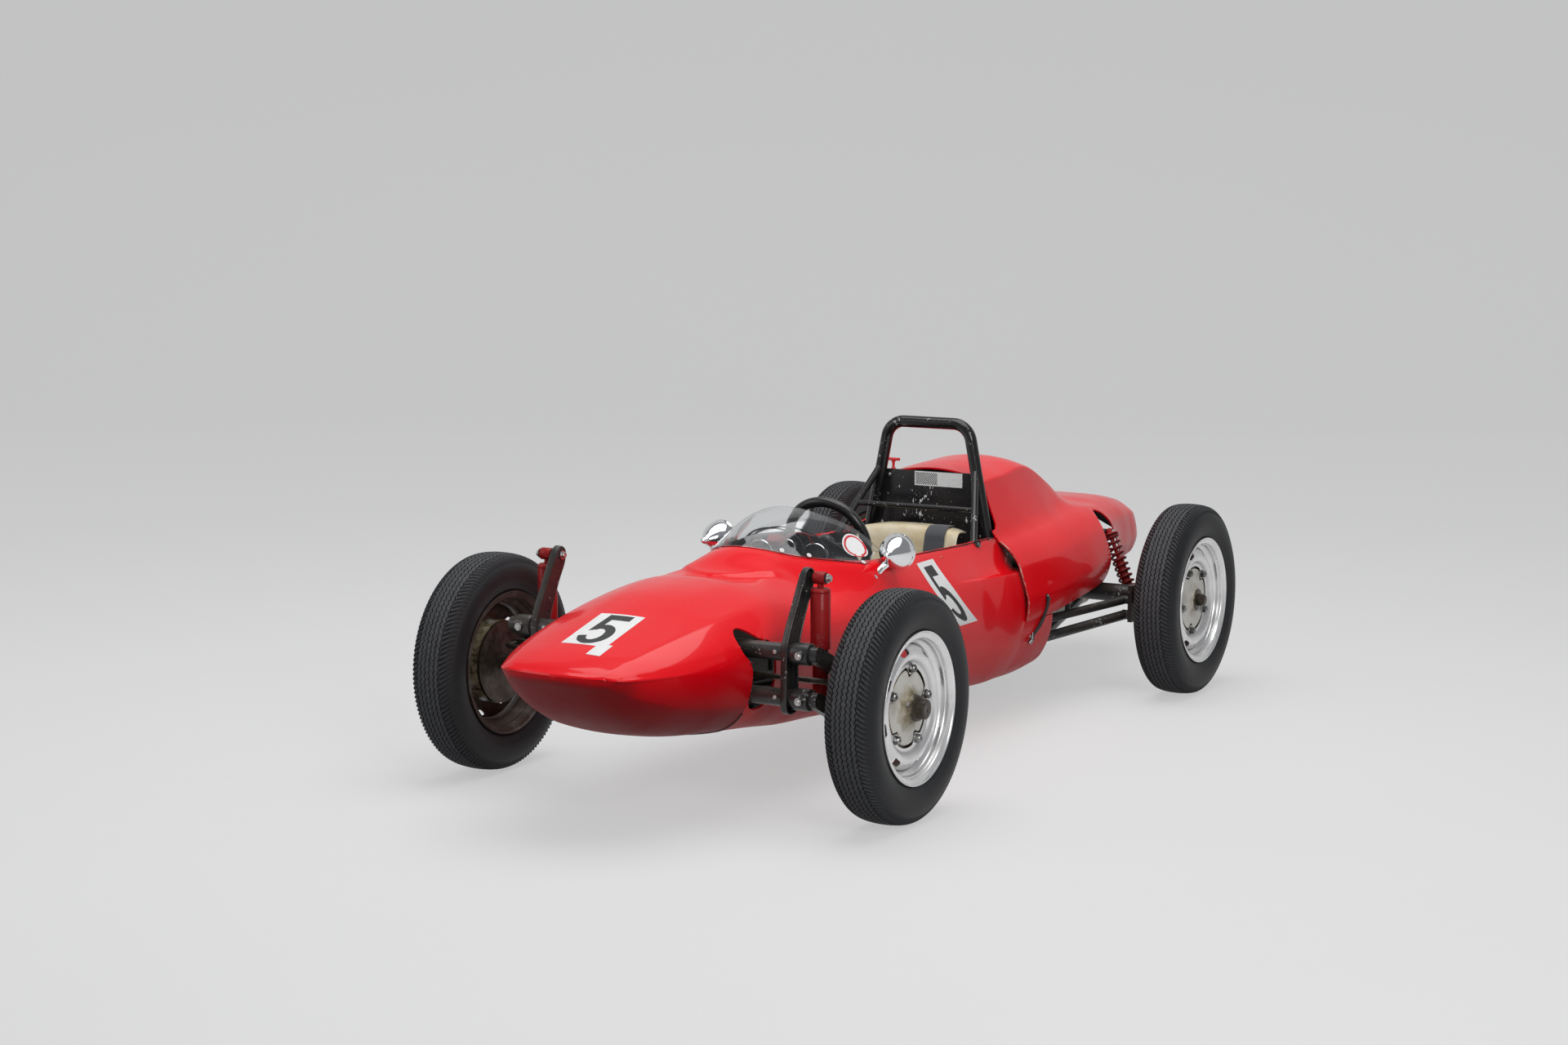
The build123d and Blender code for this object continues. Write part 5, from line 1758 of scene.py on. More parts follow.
@dataclass
class Tyre:
    """Cross-ply tyre: wavy grooves, slanted shoulder lugs and a smooth sidewall."""

    segments: int = 560
    waves: int = 112
    lugs: int = 140
    wave_reach: float = 2.3
    groove_depth: float = 6.0
    lug_depth: float = 4.6
    lug_slant: float = -1.3
    crown_drop: float = 0.0021

    # x, radius, wave phase, lug strength, wear: outer half, from the middle to the bead;
    # in tread the radius is given as a share of the groove's depth below the crown
    tread = np.array([
        (2.6, 0, 1, 0, 1), (5.4, 0, 1, 0, .9), (5.9, 1, 1, 0, 0), (8.7, 1, 1, 0, 0), (9.2, 0, 1, 0, .9),
        (14.6, 0, 1, 0, 1), (19.9, 0, 1, 0, .9), (20.4, 1, 1, 0, 0), (23.2, 1, 1, 0, 0), (23.7, 0, 1, 0, .9),
        (29.0, 0, 1, 0, 1), (34.0, 0, 1, 0, .9), (34.5, 1, 1, 0, 0), (37.3, 1, 1, 0, 0),
        (37.8, 0, 1, 0, .9)])
    flank = np.array([
        (39.5, 310.4, .3, .9, .95), (43.5, 309.6, 0, 1, .9), (48.0, 308.3, 0, 1, .85),
        (52.5, 306.3, 0, 1, .8), (56.6, 303.0, 0, 1, .6), (60.2, 298.4, 0, .95, .4),
        (63.0, 292.6, 0, .8, .25), (65.2, 286.8, 0, .3, .1), (66.6, 283.6, 0, 0, 0), (68.2, 281.6, 0, 0, 0),
        (72.0, 266.0, 0, 0, 0), (72.3, 252.0, 0, 0, 0), (70.6, 240.0, 0, 0, 0), (67.6, 229.0, 0, 0, 0),
        (66.9, 227.6, 0, 0, 0), (66.5, 225.0, 0, 0, 0), (63.0, 216.0, 0, 0, 0), (58.6, 208.4, 0, 0, 0),
        (54.0, 204.0, 0, 0, 0), (53.9, 190.7, 0, 0, 0)])

    def build(self, wheel: WheelPlace) -> None:
        """Make one tyre.

        Each column of the profile goes round the axle. Its x gets the groove's wave,
        reach times the sine of the angle's waves times its phase; its radius loses the
        lug depth on every second pair of steps; its angle turns by the slant.

        Args:
            wheel: Place of the wheel.
        """
        tread = self.tread.copy()
        tread[:, 1] = TYRE_RADIUS - self.crown_drop * tread[:, 0] ** 2 - self.groove_depth * tread[:, 1]
        half = np.concatenate([tread, self.flank])
        columns = np.concatenate([half[::-1] * (-1, 1, -1, 1, 1), half])
        step = np.arange(self.segments)[:, None]
        angle = step * 2 * math.pi / self.segments
        x, radius, phase, lug, wear = columns.T
        wave = np.sin(angle * self.waves) * self.wave_reach * phase
        cut = np.where(step % 4 >= 2, self.lug_depth, 0.0) * lug
        out = np.clip((np.abs(x) - 39.0) / 26.0, 0, 1)
        slant = out * self.lug_slant * 2 * math.pi / self.lugs * np.sign(x)
        around = angle + slant
        at_radius = radius - cut
        grid = np.stack([x + wave, at_radius * np.sin(around), at_radius * np.cos(around)], -1)
        faces = grid_faces(*grid.shape[:2], wrap_rows=True, wrap_columns=True)
        part = sided((row(grid + wheel.centre).reshape(-1, 3), faces), wheel.side)
        name = "tyre_" + wheel.label
        piece = add_mesh(name + "_dress", *part, RUBBER, wheel.body, "tyre_black", 38.0)
        worn = np.broadcast_to(wear * (1 - 0.95 * (cut > 0)), grid.shape[:2])
        set_attribute(piece, "wear", worn.ravel())
        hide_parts(name)


@dataclass
class Rim:
    """Pressed steel rim: rolled barrel and slotted disc with a tab at each bolt."""

    barrel_steps: int = 120
    slots: int = 8
    slot_length: float = 45.0
    slot_width: float = 19.0
    slot_radius: float = 156.0
    sector_columns: int = 26
    wall: float = 2.6
    edge_radius: float = 109.0
    tab_reach: float = 21.0
    tab_width: float = 17.5
    bolts: int = 5
    edge_from: float = 116.0

    barrel = [(62, 206.7), (56, 205), (54, 190.5), (30, 188), (19, 172), (-19, 172), (-30, 188),
              (-54, 190.5), (-56, 205), (-62, 206.7), (-65, 206), (-63.8, 203), (-59, 200), (-57, 187),
              (-46, 185.6), (-44, 183.6), (-32, 183), (-21, 168.5), (8, 168.5), (21, 168.8), (32, 183),
              (44, 183.6), (46, 185.6), (57, 187), (59, 200), (63.8, 203), (65, 206)]
    # x, radius of the disc's face from the barrel to its inner edge
    face = np.array([(8, 168.4), (20, 168.2), (25, 166.4), (28, 163.5), (31, 161), (34, 157.5), (37, 153.5),
                     (39.6, 149), (41.2, 144.5), (41.6, 140), (41, 135.5), (39.2, 131), (36, 126.5),
                     (32, 122.6), (28.8, 119.8), (27.3, 117), (27, 114), (27, 110), (27, 106), (27, 102),
                     (27, 98)])

    def build_barrel(self, wheel: WheelPlace) -> None:
        """Closed outline with softened corners carried round the axle.

        Args:
            wheel: Place of the wheel.
        """
        outline = smooth_outline(self.barrel, 3, 0.4)
        part = sided(lathe(outline, wheel.centre, self.barrel_steps, True), wheel.side)
        name = "rim_" + wheel.label
        piece = add_mesh(name + "_barrel", *part, SILVER, wheel.body, "wheel_silver", 40.0)
        inner = np.broadcast_to(np.clip((10 - outline[:, 0]) / 14, 0, 1), (self.barrel_steps, len(outline)))
        set_attribute(piece, "inner", inner.ravel())
        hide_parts(name)

    def edge_at(self, angle: Array) -> Array:
        """Radius of the disc's inner edge at angles from the first bolt.

        The free radius less a tab round each bolt, the tab falling off as exp(-d^3)
        with d the arc from the nearest bolt over the tab's half width.

        Args:
            angle: Angles in radians.

        Returns:
            Radii in millimetres.
        """
        step = 2 * math.pi / self.bolts
        away = (np.mod(angle + step / 2, step) - step / 2) * self.edge_radius / self.tab_width
        return self.edge_radius - self.tab_reach * np.exp(-np.abs(away) ** 3)

    def build_disc(self, wheel: WheelPlace) -> None:
        """Slotted disc made of equal sectors.

        In the flat (arc, run) plane of one sector the slot is cut as a rounded box; then
        each point goes to the profile's x and radius at its run and to its arc's angle.
        The inner edge reaches in round each bolt.

        Args:
            wheel: Place of the wheel.
        """
        run = travelled(self.face)
        rows = np.interp(np.linspace(0, len(run) - 1, 38), np.arange(len(run)), run)
        half_arc = math.pi / self.slots * self.slot_radius
        spread = np.linspace(-1, 1, self.sector_columns)
        arc = half_arc * (0.72 * spread + 0.28 * spread**3)
        flat = np.stack([*np.meshgrid(arc, rows, indexing="ij"), np.zeros((len(arc), len(rows)))], -1)
        middle = np.interp(-self.slot_radius, -self.face[:, 1], run)
        long, wide = self.slot_length / 2, self.slot_width / 2
        box = smooth_outline([(-long, middle - wide), (long, middle - wide), (long * 0.86, middle + wide),
                              (-long * 0.86, middle + wide)], 7, 0.45)
        up = np.broadcast_to((0.0, 0.0, 1.0), (flat.shape[0] * flat.shape[1], 3))
        moved, faces = cut_hole(flat.reshape(-1, 3), grid_faces(*flat.shape[:2]), up, (0, 1), box, 1.7)
        x = np.interp(moved[:, 1], run, self.face[:, 0])
        radius = np.interp(moved[:, 1], run, self.face[:, 1])
        turn = wheel.slot_turn + np.arange(self.slots)[:, None] * 2 * math.pi / self.slots
        angle = turn + moved[:, 0] / self.slot_radius
        edge = self.edge_at(angle - wheel.bolt_turn)
        inward = np.clip((self.edge_from - radius) / (self.edge_from - self.face[-1, 1]), 0, 1)
        radius = radius + inward * (edge - self.face[-1, 1])
        points = np.stack(np.broadcast_arrays(x, radius * np.sin(angle), radius * np.cos(angle)), -1)
        base = np.arange(self.slots)[:, None, None] * len(moved)
        faces = (faces[None] + base).reshape(-1, 4)
        part = sided((row(points + wheel.centre).reshape(-1, 3), tidy_faces(faces[:, ::-1])), wheel.side)
        name = "rim_" + wheel.label
        piece = add_mesh(name + "_disc", *part, SILVER, wheel.body, "wheel_silver", 40.0, 0.00003)
        spots = np.empty(len(piece.data.vertices) * 3)
        piece.data.vertices.foreach_get("co", spots)
        away = spots.reshape(-1, 3)[:, 1:] / MM - (wheel.centre[1] + FRONT_AXLE_Y, wheel.centre[2])
        radius = np.linalg.norm(away, axis=1)
        # painted shade in the disc's creases: at its joint with the barrel and at the inner foot of the
        # raised ring
        darkening = 0.45 * np.clip((radius - 160) / 8, 0, 1) + 0.25 * np.exp(-((radius - 122) / 5) ** 2)
        set_attribute(piece, "inner", darkening)
        thicken(piece, self.wall, -1.0, RUSTY)
        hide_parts(name)


@dataclass
class Drum:
    """Brake drum with a lobed centre, its hub and the fixing at the middle."""

    recess_x: float = 22.0
    face_x: float = 26.6
    edge_gap: float = 6.4
    steps: int = 240
    front_hub: float = 32.4
    rear_hub: float = 19.0
    bolt_circle: float = 104.0
    bolt_seat_x: float = 27.0

    def build(self, wheel: WheelPlace, rim: Rim) -> None:
        """Drum turned about the axle; its face ends on lobes that lie inside the disc's edge.

        Columns of the profile between the recess and the face have the lobe's radius,
        the disc's edge less the gap, scaled by the column's own share.

        Args:
            wheel: Place of the wheel.
            rim: Rim whose edge the drum's face follows.
        """
        angle = np.linspace(0, 2 * math.pi, self.steps, endpoint=False)[:, None]
        lobe = rim.edge_at(angle - wheel.bolt_turn) - self.edge_gap
        darkening = 1.0 if wheel.front else 0.55
        # x, radius, share of the lobe, grease: greasy at the hub, painted shade on the recess floor and the
        # face's edge
        table = np.array([
            (14, 110, 0, 1.4), (14, 114, 0, 1.4), (-29, 114, 0, 1.4), (-29, 120, 0, .9), (19, 120, 0, .9),
            # recess floor and face edge: painted shade of the gap between drum and disc
            (self.recess_x - 4, 117, 0, 1.6), (self.recess_x - 4, 1, 1, 1.6),
            (self.face_x - 1.2, 0.985, 1, .5), (self.face_x, 0.97, 1, 0), (self.face_x, 0.93, 1, 0),
            (self.face_x, 0.88, 1, 0), (self.face_x + .3, 78, 0, .05), (self.face_x + .8, 71, 0, .2 * darkening),
            (self.face_x + 2.2, 64, 0, .35 * darkening), (self.face_x + 4.6, 57, 0, .5 * darkening),
            (self.face_x + 8, 50.5, 0, .6 * darkening), (self.face_x + 12.5, 44.5, 0, .7 * darkening),
            (self.face_x + 17.5, 40, 0, .85 * darkening), (self.face_x + 23, 37, 0, .95 * darkening),
            (self.face_x + 28, 35.2, 0, 1.1), (self.face_x + 31, 34.4, 0, 1.2),
            (self.face_x + self.front_hub, 32.6, 0, 1.3), (self.face_x + self.front_hub, 15.2, 0, 1.4),
            (-20, 15.2, 0, 1.4), (-20, 38, 0, 1.4), (16, 50, 0, 1.4), (16, 110, 0, 1.4)])
        hub_end = self.face_x + (self.front_hub if wheel.front else self.rear_hub)
        drawn_out = self.face_x + (table[:, 0] - self.face_x) * (hub_end - self.face_x) / self.front_hub
        table[:, 0] = np.where(table[:, 0] > self.face_x, drawn_out, table[:, 0])
        x, radius, share, grease = table.T
        radius = np.where(share > 0, lobe * np.where(share > 0, radius, 1), radius)
        grid = np.stack(np.broadcast_arrays(x, radius * np.sin(angle), radius * np.cos(angle)), -1)
        faces = grid_faces(*grid.shape[:2], wrap_rows=True, wrap_columns=True)[:, ::-1]
        part = sided((row(grid + wheel.centre).reshape(-1, 3), faces), wheel.side)
        name = "drum_" + wheel.label
        piece = add_mesh(name + "_dress", *part, DRUM, wheel.body, "drum_silver", 35.0)
        set_attribute(piece, "grease", np.broadcast_to(grease, grid.shape[:2]).ravel())
        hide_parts(name)
        self.build_bolts(wheel, rim)
        self.build_hub(wheel, hub_end)

    def build_bolts(self, wheel: WheelPlace, rim: Rim) -> None:
        """Five wheel bolts on their washers.

        Args:
            wheel: Place of the wheel.
            rim: Rim that they hold.
        """
        turns = wheel.bolt_turn + np.arange(rim.bolts) * 2 * math.pi / rim.bolts
        seats = np.stack([np.full_like(turns, self.bolt_seat_x), self.bolt_circle * np.sin(turns),
                          self.bolt_circle * np.cos(turns)], -1) + wheel.centre
        heads = [hexagon_bolt(seat, (1, 0, 0), 20.5, 13.0, 13.5) for seat in seats]
        name = f"drum_{wheel.label}_bolts"
        add_mesh(name, *sided(joined(heads), wheel.side), LUG, wheel.body, "chrome", 30.0)

    def build_hub(self, wheel: WheelPlace, hub_end: float) -> None:
        """Greasy dust cap in front, notched nut and split pin behind.

        Args:
            wheel: Place of the wheel.
            hub_end: Where the hub ends along the axle.
        """
        at = wheel.centre
        if wheel.front:
            cap = turned(at, (1, 0, 0), [(hub_end - 2, 33.0), (hub_end + 2.2, 33.4), (hub_end + 3.4, 31.0),
                                         (hub_end + 4, 28.0), (80.0, 27.2), (82.8, 25.6), (84.0, 21.5),
                                         (84.0, 12.0), (83.0, 8.0)], 64)
            head = hexagon_bolt(at + (83.0, 6, -4), (1, 0, 0), 8.0, 1.0)
            name, parts = f"drum_{wheel.label}_cap", sided(joined([cap, head]), wheel.side)
            add_mesh(name, *parts, GREASED, wheel.body, "steel_dark", 35.0)
            return
        nut = hexagon_bolt(at + (hub_end - 1, 0, 0), (1, 0, 0), 36.0, 18.0, 24.0)
        ring = turned(at, (1, 0, 0), [(hub_end + 15, 15.5), (hub_end + 23, 15.0), (hub_end + 24, 13.5)], 36)
        pin = tube(at + (hub_end + 20.5, 0, 0) + np.array([(0, -19, 4), (0, 0, 0), (0, 19, -4)]), 2.0, 8)
        notches = [tube(at + np.array([(hub_end + 13, 12.5 * math.sin(t), 12.5 * math.cos(t)),
                                       (hub_end + 19, 14.5 * math.sin(t), 14.5 * math.cos(t)),
                                       (hub_end + 22.5, 14.8 * math.sin(t), 14.8 * math.cos(t))]), 3.2, 8)
                   for t in np.arange(6) * math.pi / 3]
        parts = sided(joined([nut, ring, pin, *notches]), wheel.side)
        add_mesh(f"drum_{wheel.label}_nut", *parts, GREASED, wheel.body, "steel_dark", 35.0)


@dataclass
class Wheels:
    """The four wheels."""

    places: tuple[WheelPlace, ...] = (
        WheelPlace("front", Side.LEFT, 7.5, -13.5), WheelPlace("front", Side.RIGHT, 31.0, 10.0),
        WheelPlace("rear", Side.LEFT, 44.0, -17.5), WheelPlace("rear", Side.RIGHT, 20.0, 5.0))

    def build(self) -> None:
        """Make tyre, rim, drum and fixings of each wheel."""
        tyre, rim, drum = Tyre(), Rim(), Drum()
        for wheel in self.places:
            tyre.build(wheel)
            rim.build_barrel(wheel)
            rim.build_disc(wheel)
            drum.build(wheel, rim)


# ---- screen and number patches --------------------------------------------------------
def sample(grid: Array, rows: Array, columns: Array) -> Array:
    """Points of a grid at fractional row and column numbers, by the mix of four neighbours.

    Args:
        grid: Points, shape (R, C, 3).
        rows: Row numbers.
        columns: Column numbers.

    Returns:
        Points at those places.
    """
    rows = np.clip(rows, 0, grid.shape[0] - 1.001)
    columns = np.clip(columns, 0, grid.shape[1] - 1.001)
    i, j = rows.astype(int), columns.astype(int)
    s, t = (rows - i)[..., None], (columns - j)[..., None]
    return ((1 - s) * ((1 - t) * grid[i, j] + t * grid[i, j + 1])
            + s * ((1 - t) * grid[i + 1, j] + t * grid[i + 1, j + 1]))


def face_centres(piece: bpy.types.Object) -> Array:
    """Middles of a piece's faces in the frame's metres, shape (F, 3).

    Args:
        piece: Piece to read.

    Returns:
        Middles, shape (F, 3).
    """
    centres = np.empty(len(piece.data.polygons) * 3)
    piece.data.polygons.foreach_get("center", centres)
    return centres.reshape(-1, 3)


def paint_faces(piece: bpy.types.Object, finish: "Finish", chosen: Array) -> None:
    """Give the chosen faces a second finish."""
    piece.data.materials.append(finish.material())
    piece.data.polygons.foreach_set("material_index", np.asarray(chosen).astype(np.int32).ravel())


@dataclass
class Windscreen:
    """Blown bubble screen, its screws and the round mark on its left rear corner."""

    thickness: float = 2.6
    columns: int = 121
    rows_up: int = 33
    mark_radius: float = 43.0
    # from the base to the free edge; in each row from the middle to the left end
    rows = np.array([
        [(0, 290, 658), (70, 306, 652), (130, 350, 636), (178, 410, 622), (220, 490, 608), (258, 568, 594)],
        [(0, 330, 689), (68, 346, 682), (122, 394, 663), (166, 454, 643), (210, 524, 620), (254, 596, 600)],
        [(0, 396, 716), (62, 412, 710), (114, 450, 693), (158, 506, 669), (204, 566, 641), (250, 618, 610)],
        [(0, 472, 736), (56, 482, 731), (106, 512, 716), (150, 556, 694), (198, 608, 661), (249, 640, 618)],
        [(0, 548, 745), (50, 553, 741), (100, 570, 727), (144, 604, 706), (194, 646, 670), (248, 664, 620)]],
        float)

    def surface(self) -> Array:
        """Outside of the screen: curves through each row, then curves through the rows.

        Returns:
            Points in millimetres, shape (rows_up, columns, 3).
        """
        full = np.concatenate([self.rows[:, ::-1] * (-1, 1, 1), self.rows[:, 1:]], 1)
        along = through(np.linspace(-1, 1, 11), full.transpose(1, 0, 2).reshape(11, -1),
                        np.linspace(-1, 1, self.columns))
        rows = along.reshape(self.columns, 5, 3).transpose(1, 0, 2).reshape(5, -1)
        return through(np.linspace(0, 1, 5), rows, np.linspace(0, 1, self.rows_up)).reshape(
            self.rows_up, self.columns, 3)

    def build_mark(self, grid: Array, row_at: float, column_at: float) -> None:
        """White disc with a red ring, laid on the screen.

        The disc's flat offsets become row and column steps by the inverse of the
        surface's two difference vectors in the tangent plane.

        Args:
            grid: Points of the screen.
            row_at: Row of the mark's centre.
            column_at: Column of the mark's centre.
        """
        radius = np.array([0.0, 8, 16, 24, 31.5, 32.0, 38.0, 38.5, self.mark_radius])
        angle = np.linspace(0, 2 * math.pi, 64, endpoint=False)[:, None]
        flat = np.stack([radius * np.cos(angle), radius * np.sin(angle)], -1)
        at = np.array([row_at]), np.array([column_at])
        step_row = sample(grid, at[0] + 1, at[1])[0] - sample(grid, at[0] - 1, at[1])[0]
        step_column = sample(grid, at[0], at[1] + 1)[0] - sample(grid, at[0], at[1] - 1)[0]
        across = unit(step_column)
        upward = unit(step_row - across * (step_row @ across))
        turn = np.linalg.inv(np.array([[step_row @ across, step_column @ across],
                                       [step_row @ upward, step_column @ upward]]) / 2)
        steps = flat @ turn.T
        points = sample(grid, row_at + steps[..., 0], column_at + steps[..., 1])
        normal = unit(np.cross(step_column, step_row))
        normal *= np.sign(normal @ (1.0, -1.0, 0.6))
        faces = grid_faces(*points.shape[:2], wrap_rows=True)[:, ::-1]
        piece = add_mesh("screen_mark", row(points + normal * 0.35), faces, WHITE, "chassis", "panel_black",
                         60.0)
        middle = row(sample(grid, at[0], at[1])[0] + normal * 0.35)
        away = np.linalg.norm(face_centres(piece) - middle, axis=1) / MM
        paint_faces(piece, RING_RED, (away > 32) & (away < 38.2))
        thicken(piece, 0.3)

    def build(self) -> None:
        """Make the screen, its mark and its screws."""
        grid = self.surface()
        faces = grid_faces(*grid.shape[:2])[:, ::-1]
        piece = add_mesh("screen_bubble", row(grid).reshape(-1, 3), faces, CLEAR, "chassis", "screen_clear",
                         60.0)
        thicken(piece, self.thickness, -1.0)
        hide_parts("windscreen")
        self.build_mark(grid, 17.0, 110.0)
        screws = []
        for column in (41, 79, 28, 92, 2.4, 117.6):
            foot = sample(grid, np.array([1.6]), np.array([column]))[0]
            around = sample(grid, np.array([1.6, 1.6, 3.0]), np.array([column - 1.0, column + 1.0, column]))
            out = unit(np.cross(around[1] - around[0], around[2] - foot))
            out *= np.sign(out @ (foot - (0.0, 560.0, 560.0)))
            screws.append(hexagon_bolt(foot + out * 0.2, out, 5.0, 1.4, 7.2))
        add_mesh("screen_screws", *joined(screws), PALE_SCREW, "chassis", "chrome", 30.0)


def numeral_outline() -> Array:
    """A plain block five in a unit box: straight bar and stem, and two ellipse arcs.

    Returns:
        Corners, shape (N, 2).
    """
    outer, inner = np.radians(np.linspace(108, -166, 40)), np.radians(np.linspace(-164, 128, 34))
    bowl = np.stack([0.47 + 0.43 * np.cos(outer), 0.33 + 0.33 * np.sin(outer)], -1)
    hollow = np.stack([0.46 + 0.19 * np.cos(inner), 0.325 + 0.185 * np.sin(inner)], -1)
    start = [(0.20, 1.0), (0.88, 1.0), (0.88, 0.83), (0.40, 0.83), (0.37, 0.645)]
    return np.concatenate([start, bowl, hollow, [(0.15, 0.42)]])


@dataclass
class NumberPatches:
    """White patches with a race number on the nose and on both sides."""

    cell: float = 2.6

    def patch(self, name: str, size: tuple[float, float], box: tuple[float, float, float, float],
              lay: Callable[[Array, Array], Array]) -> None:
        """A patch whose faces inside the numeral are black.

        Grid points within half a cell of the outline slide onto it; a face is black when
        its middle lies inside.

        Args:
            name: Name of the piece.
            size: Width and height of the patch in millimetres.
            box: The numeral's left, bottom, right and top as shares of the patch.
            lay: Function that lays shares across and up on the car, in millimetres.
        """
        across, up = (int(length / self.cell) + 1 for length in size)
        flat = np.stack(np.meshgrid(np.linspace(0, size[0], across), np.linspace(0, size[1], up),
                                    indexing="ij"), -1).reshape(-1, 2)
        left, low, right, high = box
        outline = (numeral_outline() * (right - left, high - low) + (left, low)) * size
        distance, nearest = outline_distance(flat, outline)
        close = np.abs(distance) < 0.52 * self.cell
        flat[close] = nearest[close]
        faces = grid_faces(across, up)
        inside, _ = outline_distance(flat[faces].mean(1), outline)
        points = lay(flat[:, 0] / size[0], flat[:, 1] / size[1])
        grid = points.reshape(across, up, 3)
        facing = np.cross(grid[1, 0] - grid[0, 0], grid[0, 1] - grid[0, 0])
        if facing @ (points.mean(0) - (0.0, points[:, 1].mean(), 300.0)) < 0:
            faces = faces[:, ::-1]
        piece = add_mesh(name, row(points), faces, WHITE, "chassis", "body_red", 60.0)
        paint_faces(piece, NUMBER_BLACK, inside < 0)

    def build(self) -> None:
        """Lay the patches on nose and flanks."""
        def on_nose(s: Array, t: Array) -> Array:
            """Across from the right, up toward the screen, heights from the deck."""
            x, y = -69 + 139 * s, -511 + 190 * t
            return self.on_deck(x, y)

        def on_tab(s: Array, t: Array) -> Array:
            """Small white tab by the patch's front corner."""
            return self.on_deck(41 + 43 * s, -560 + 62 * t) + (0, 0, 0.2)

        self.patch("nose_number", (139, 190), (0.10, 0.04, 0.90, 0.96), on_nose)
        grid = np.stack(np.meshgrid(np.linspace(0, 1, 12), np.linspace(0, 1, 16), indexing="ij"), -1)
        tab = on_tab(grid[..., 0].ravel(), grid[..., 1].ravel())
        piece = add_mesh("nose_tab", row(tab), grid_faces(12, 16), WHITE, "chassis", "body_red", 60.0)
        thicken(piece, 0.35)
        for side in Side:
            def on_flank(s: Array, t: Array, side: Side = side) -> Array:
                """Along the side and down it, leaning back as it goes down by a square curve.

                Args:
                    s: Shares across.
                    t: Shares up.
                    side: Side of the car.

                Returns:
                    Points in millimetres.
                """
                along = s if side is Side.LEFT else 1 - s
                down = 1 - t
                y = 851 + 117 * along + 11 * down + 134 * down**2
                z = 559 - 202 * down
                return HullSkin.flank(y[None], z[None])[0] * (side.value, 1, 1) + (side.value * 0.4, 0, 0.2)
            self.patch(f"side_number_{side.label}", (117, 236), (0.10, 0.05, 0.84, 0.93), on_flank)

    @staticmethod
    def on_deck(x: Array, y: Array) -> Array:
        """Points of the deck at paired x and y, a little proud of it.

        Args:
            x: Distances from the middle.
            y: Stations.

        Returns:
            Points in millimetres.
        """
        stations = np.linspace(y.min() - 1, y.max() + 1, 60)
        columns = np.linspace(-90, 90, 91)
        deck = HullSkin.top(columns, stations)
        rows = (y - stations[0]) / (stations[1] - stations[0])
        return sample(deck, rows, (x + 90) / 2.0) + (0, -0.1, 0.4)


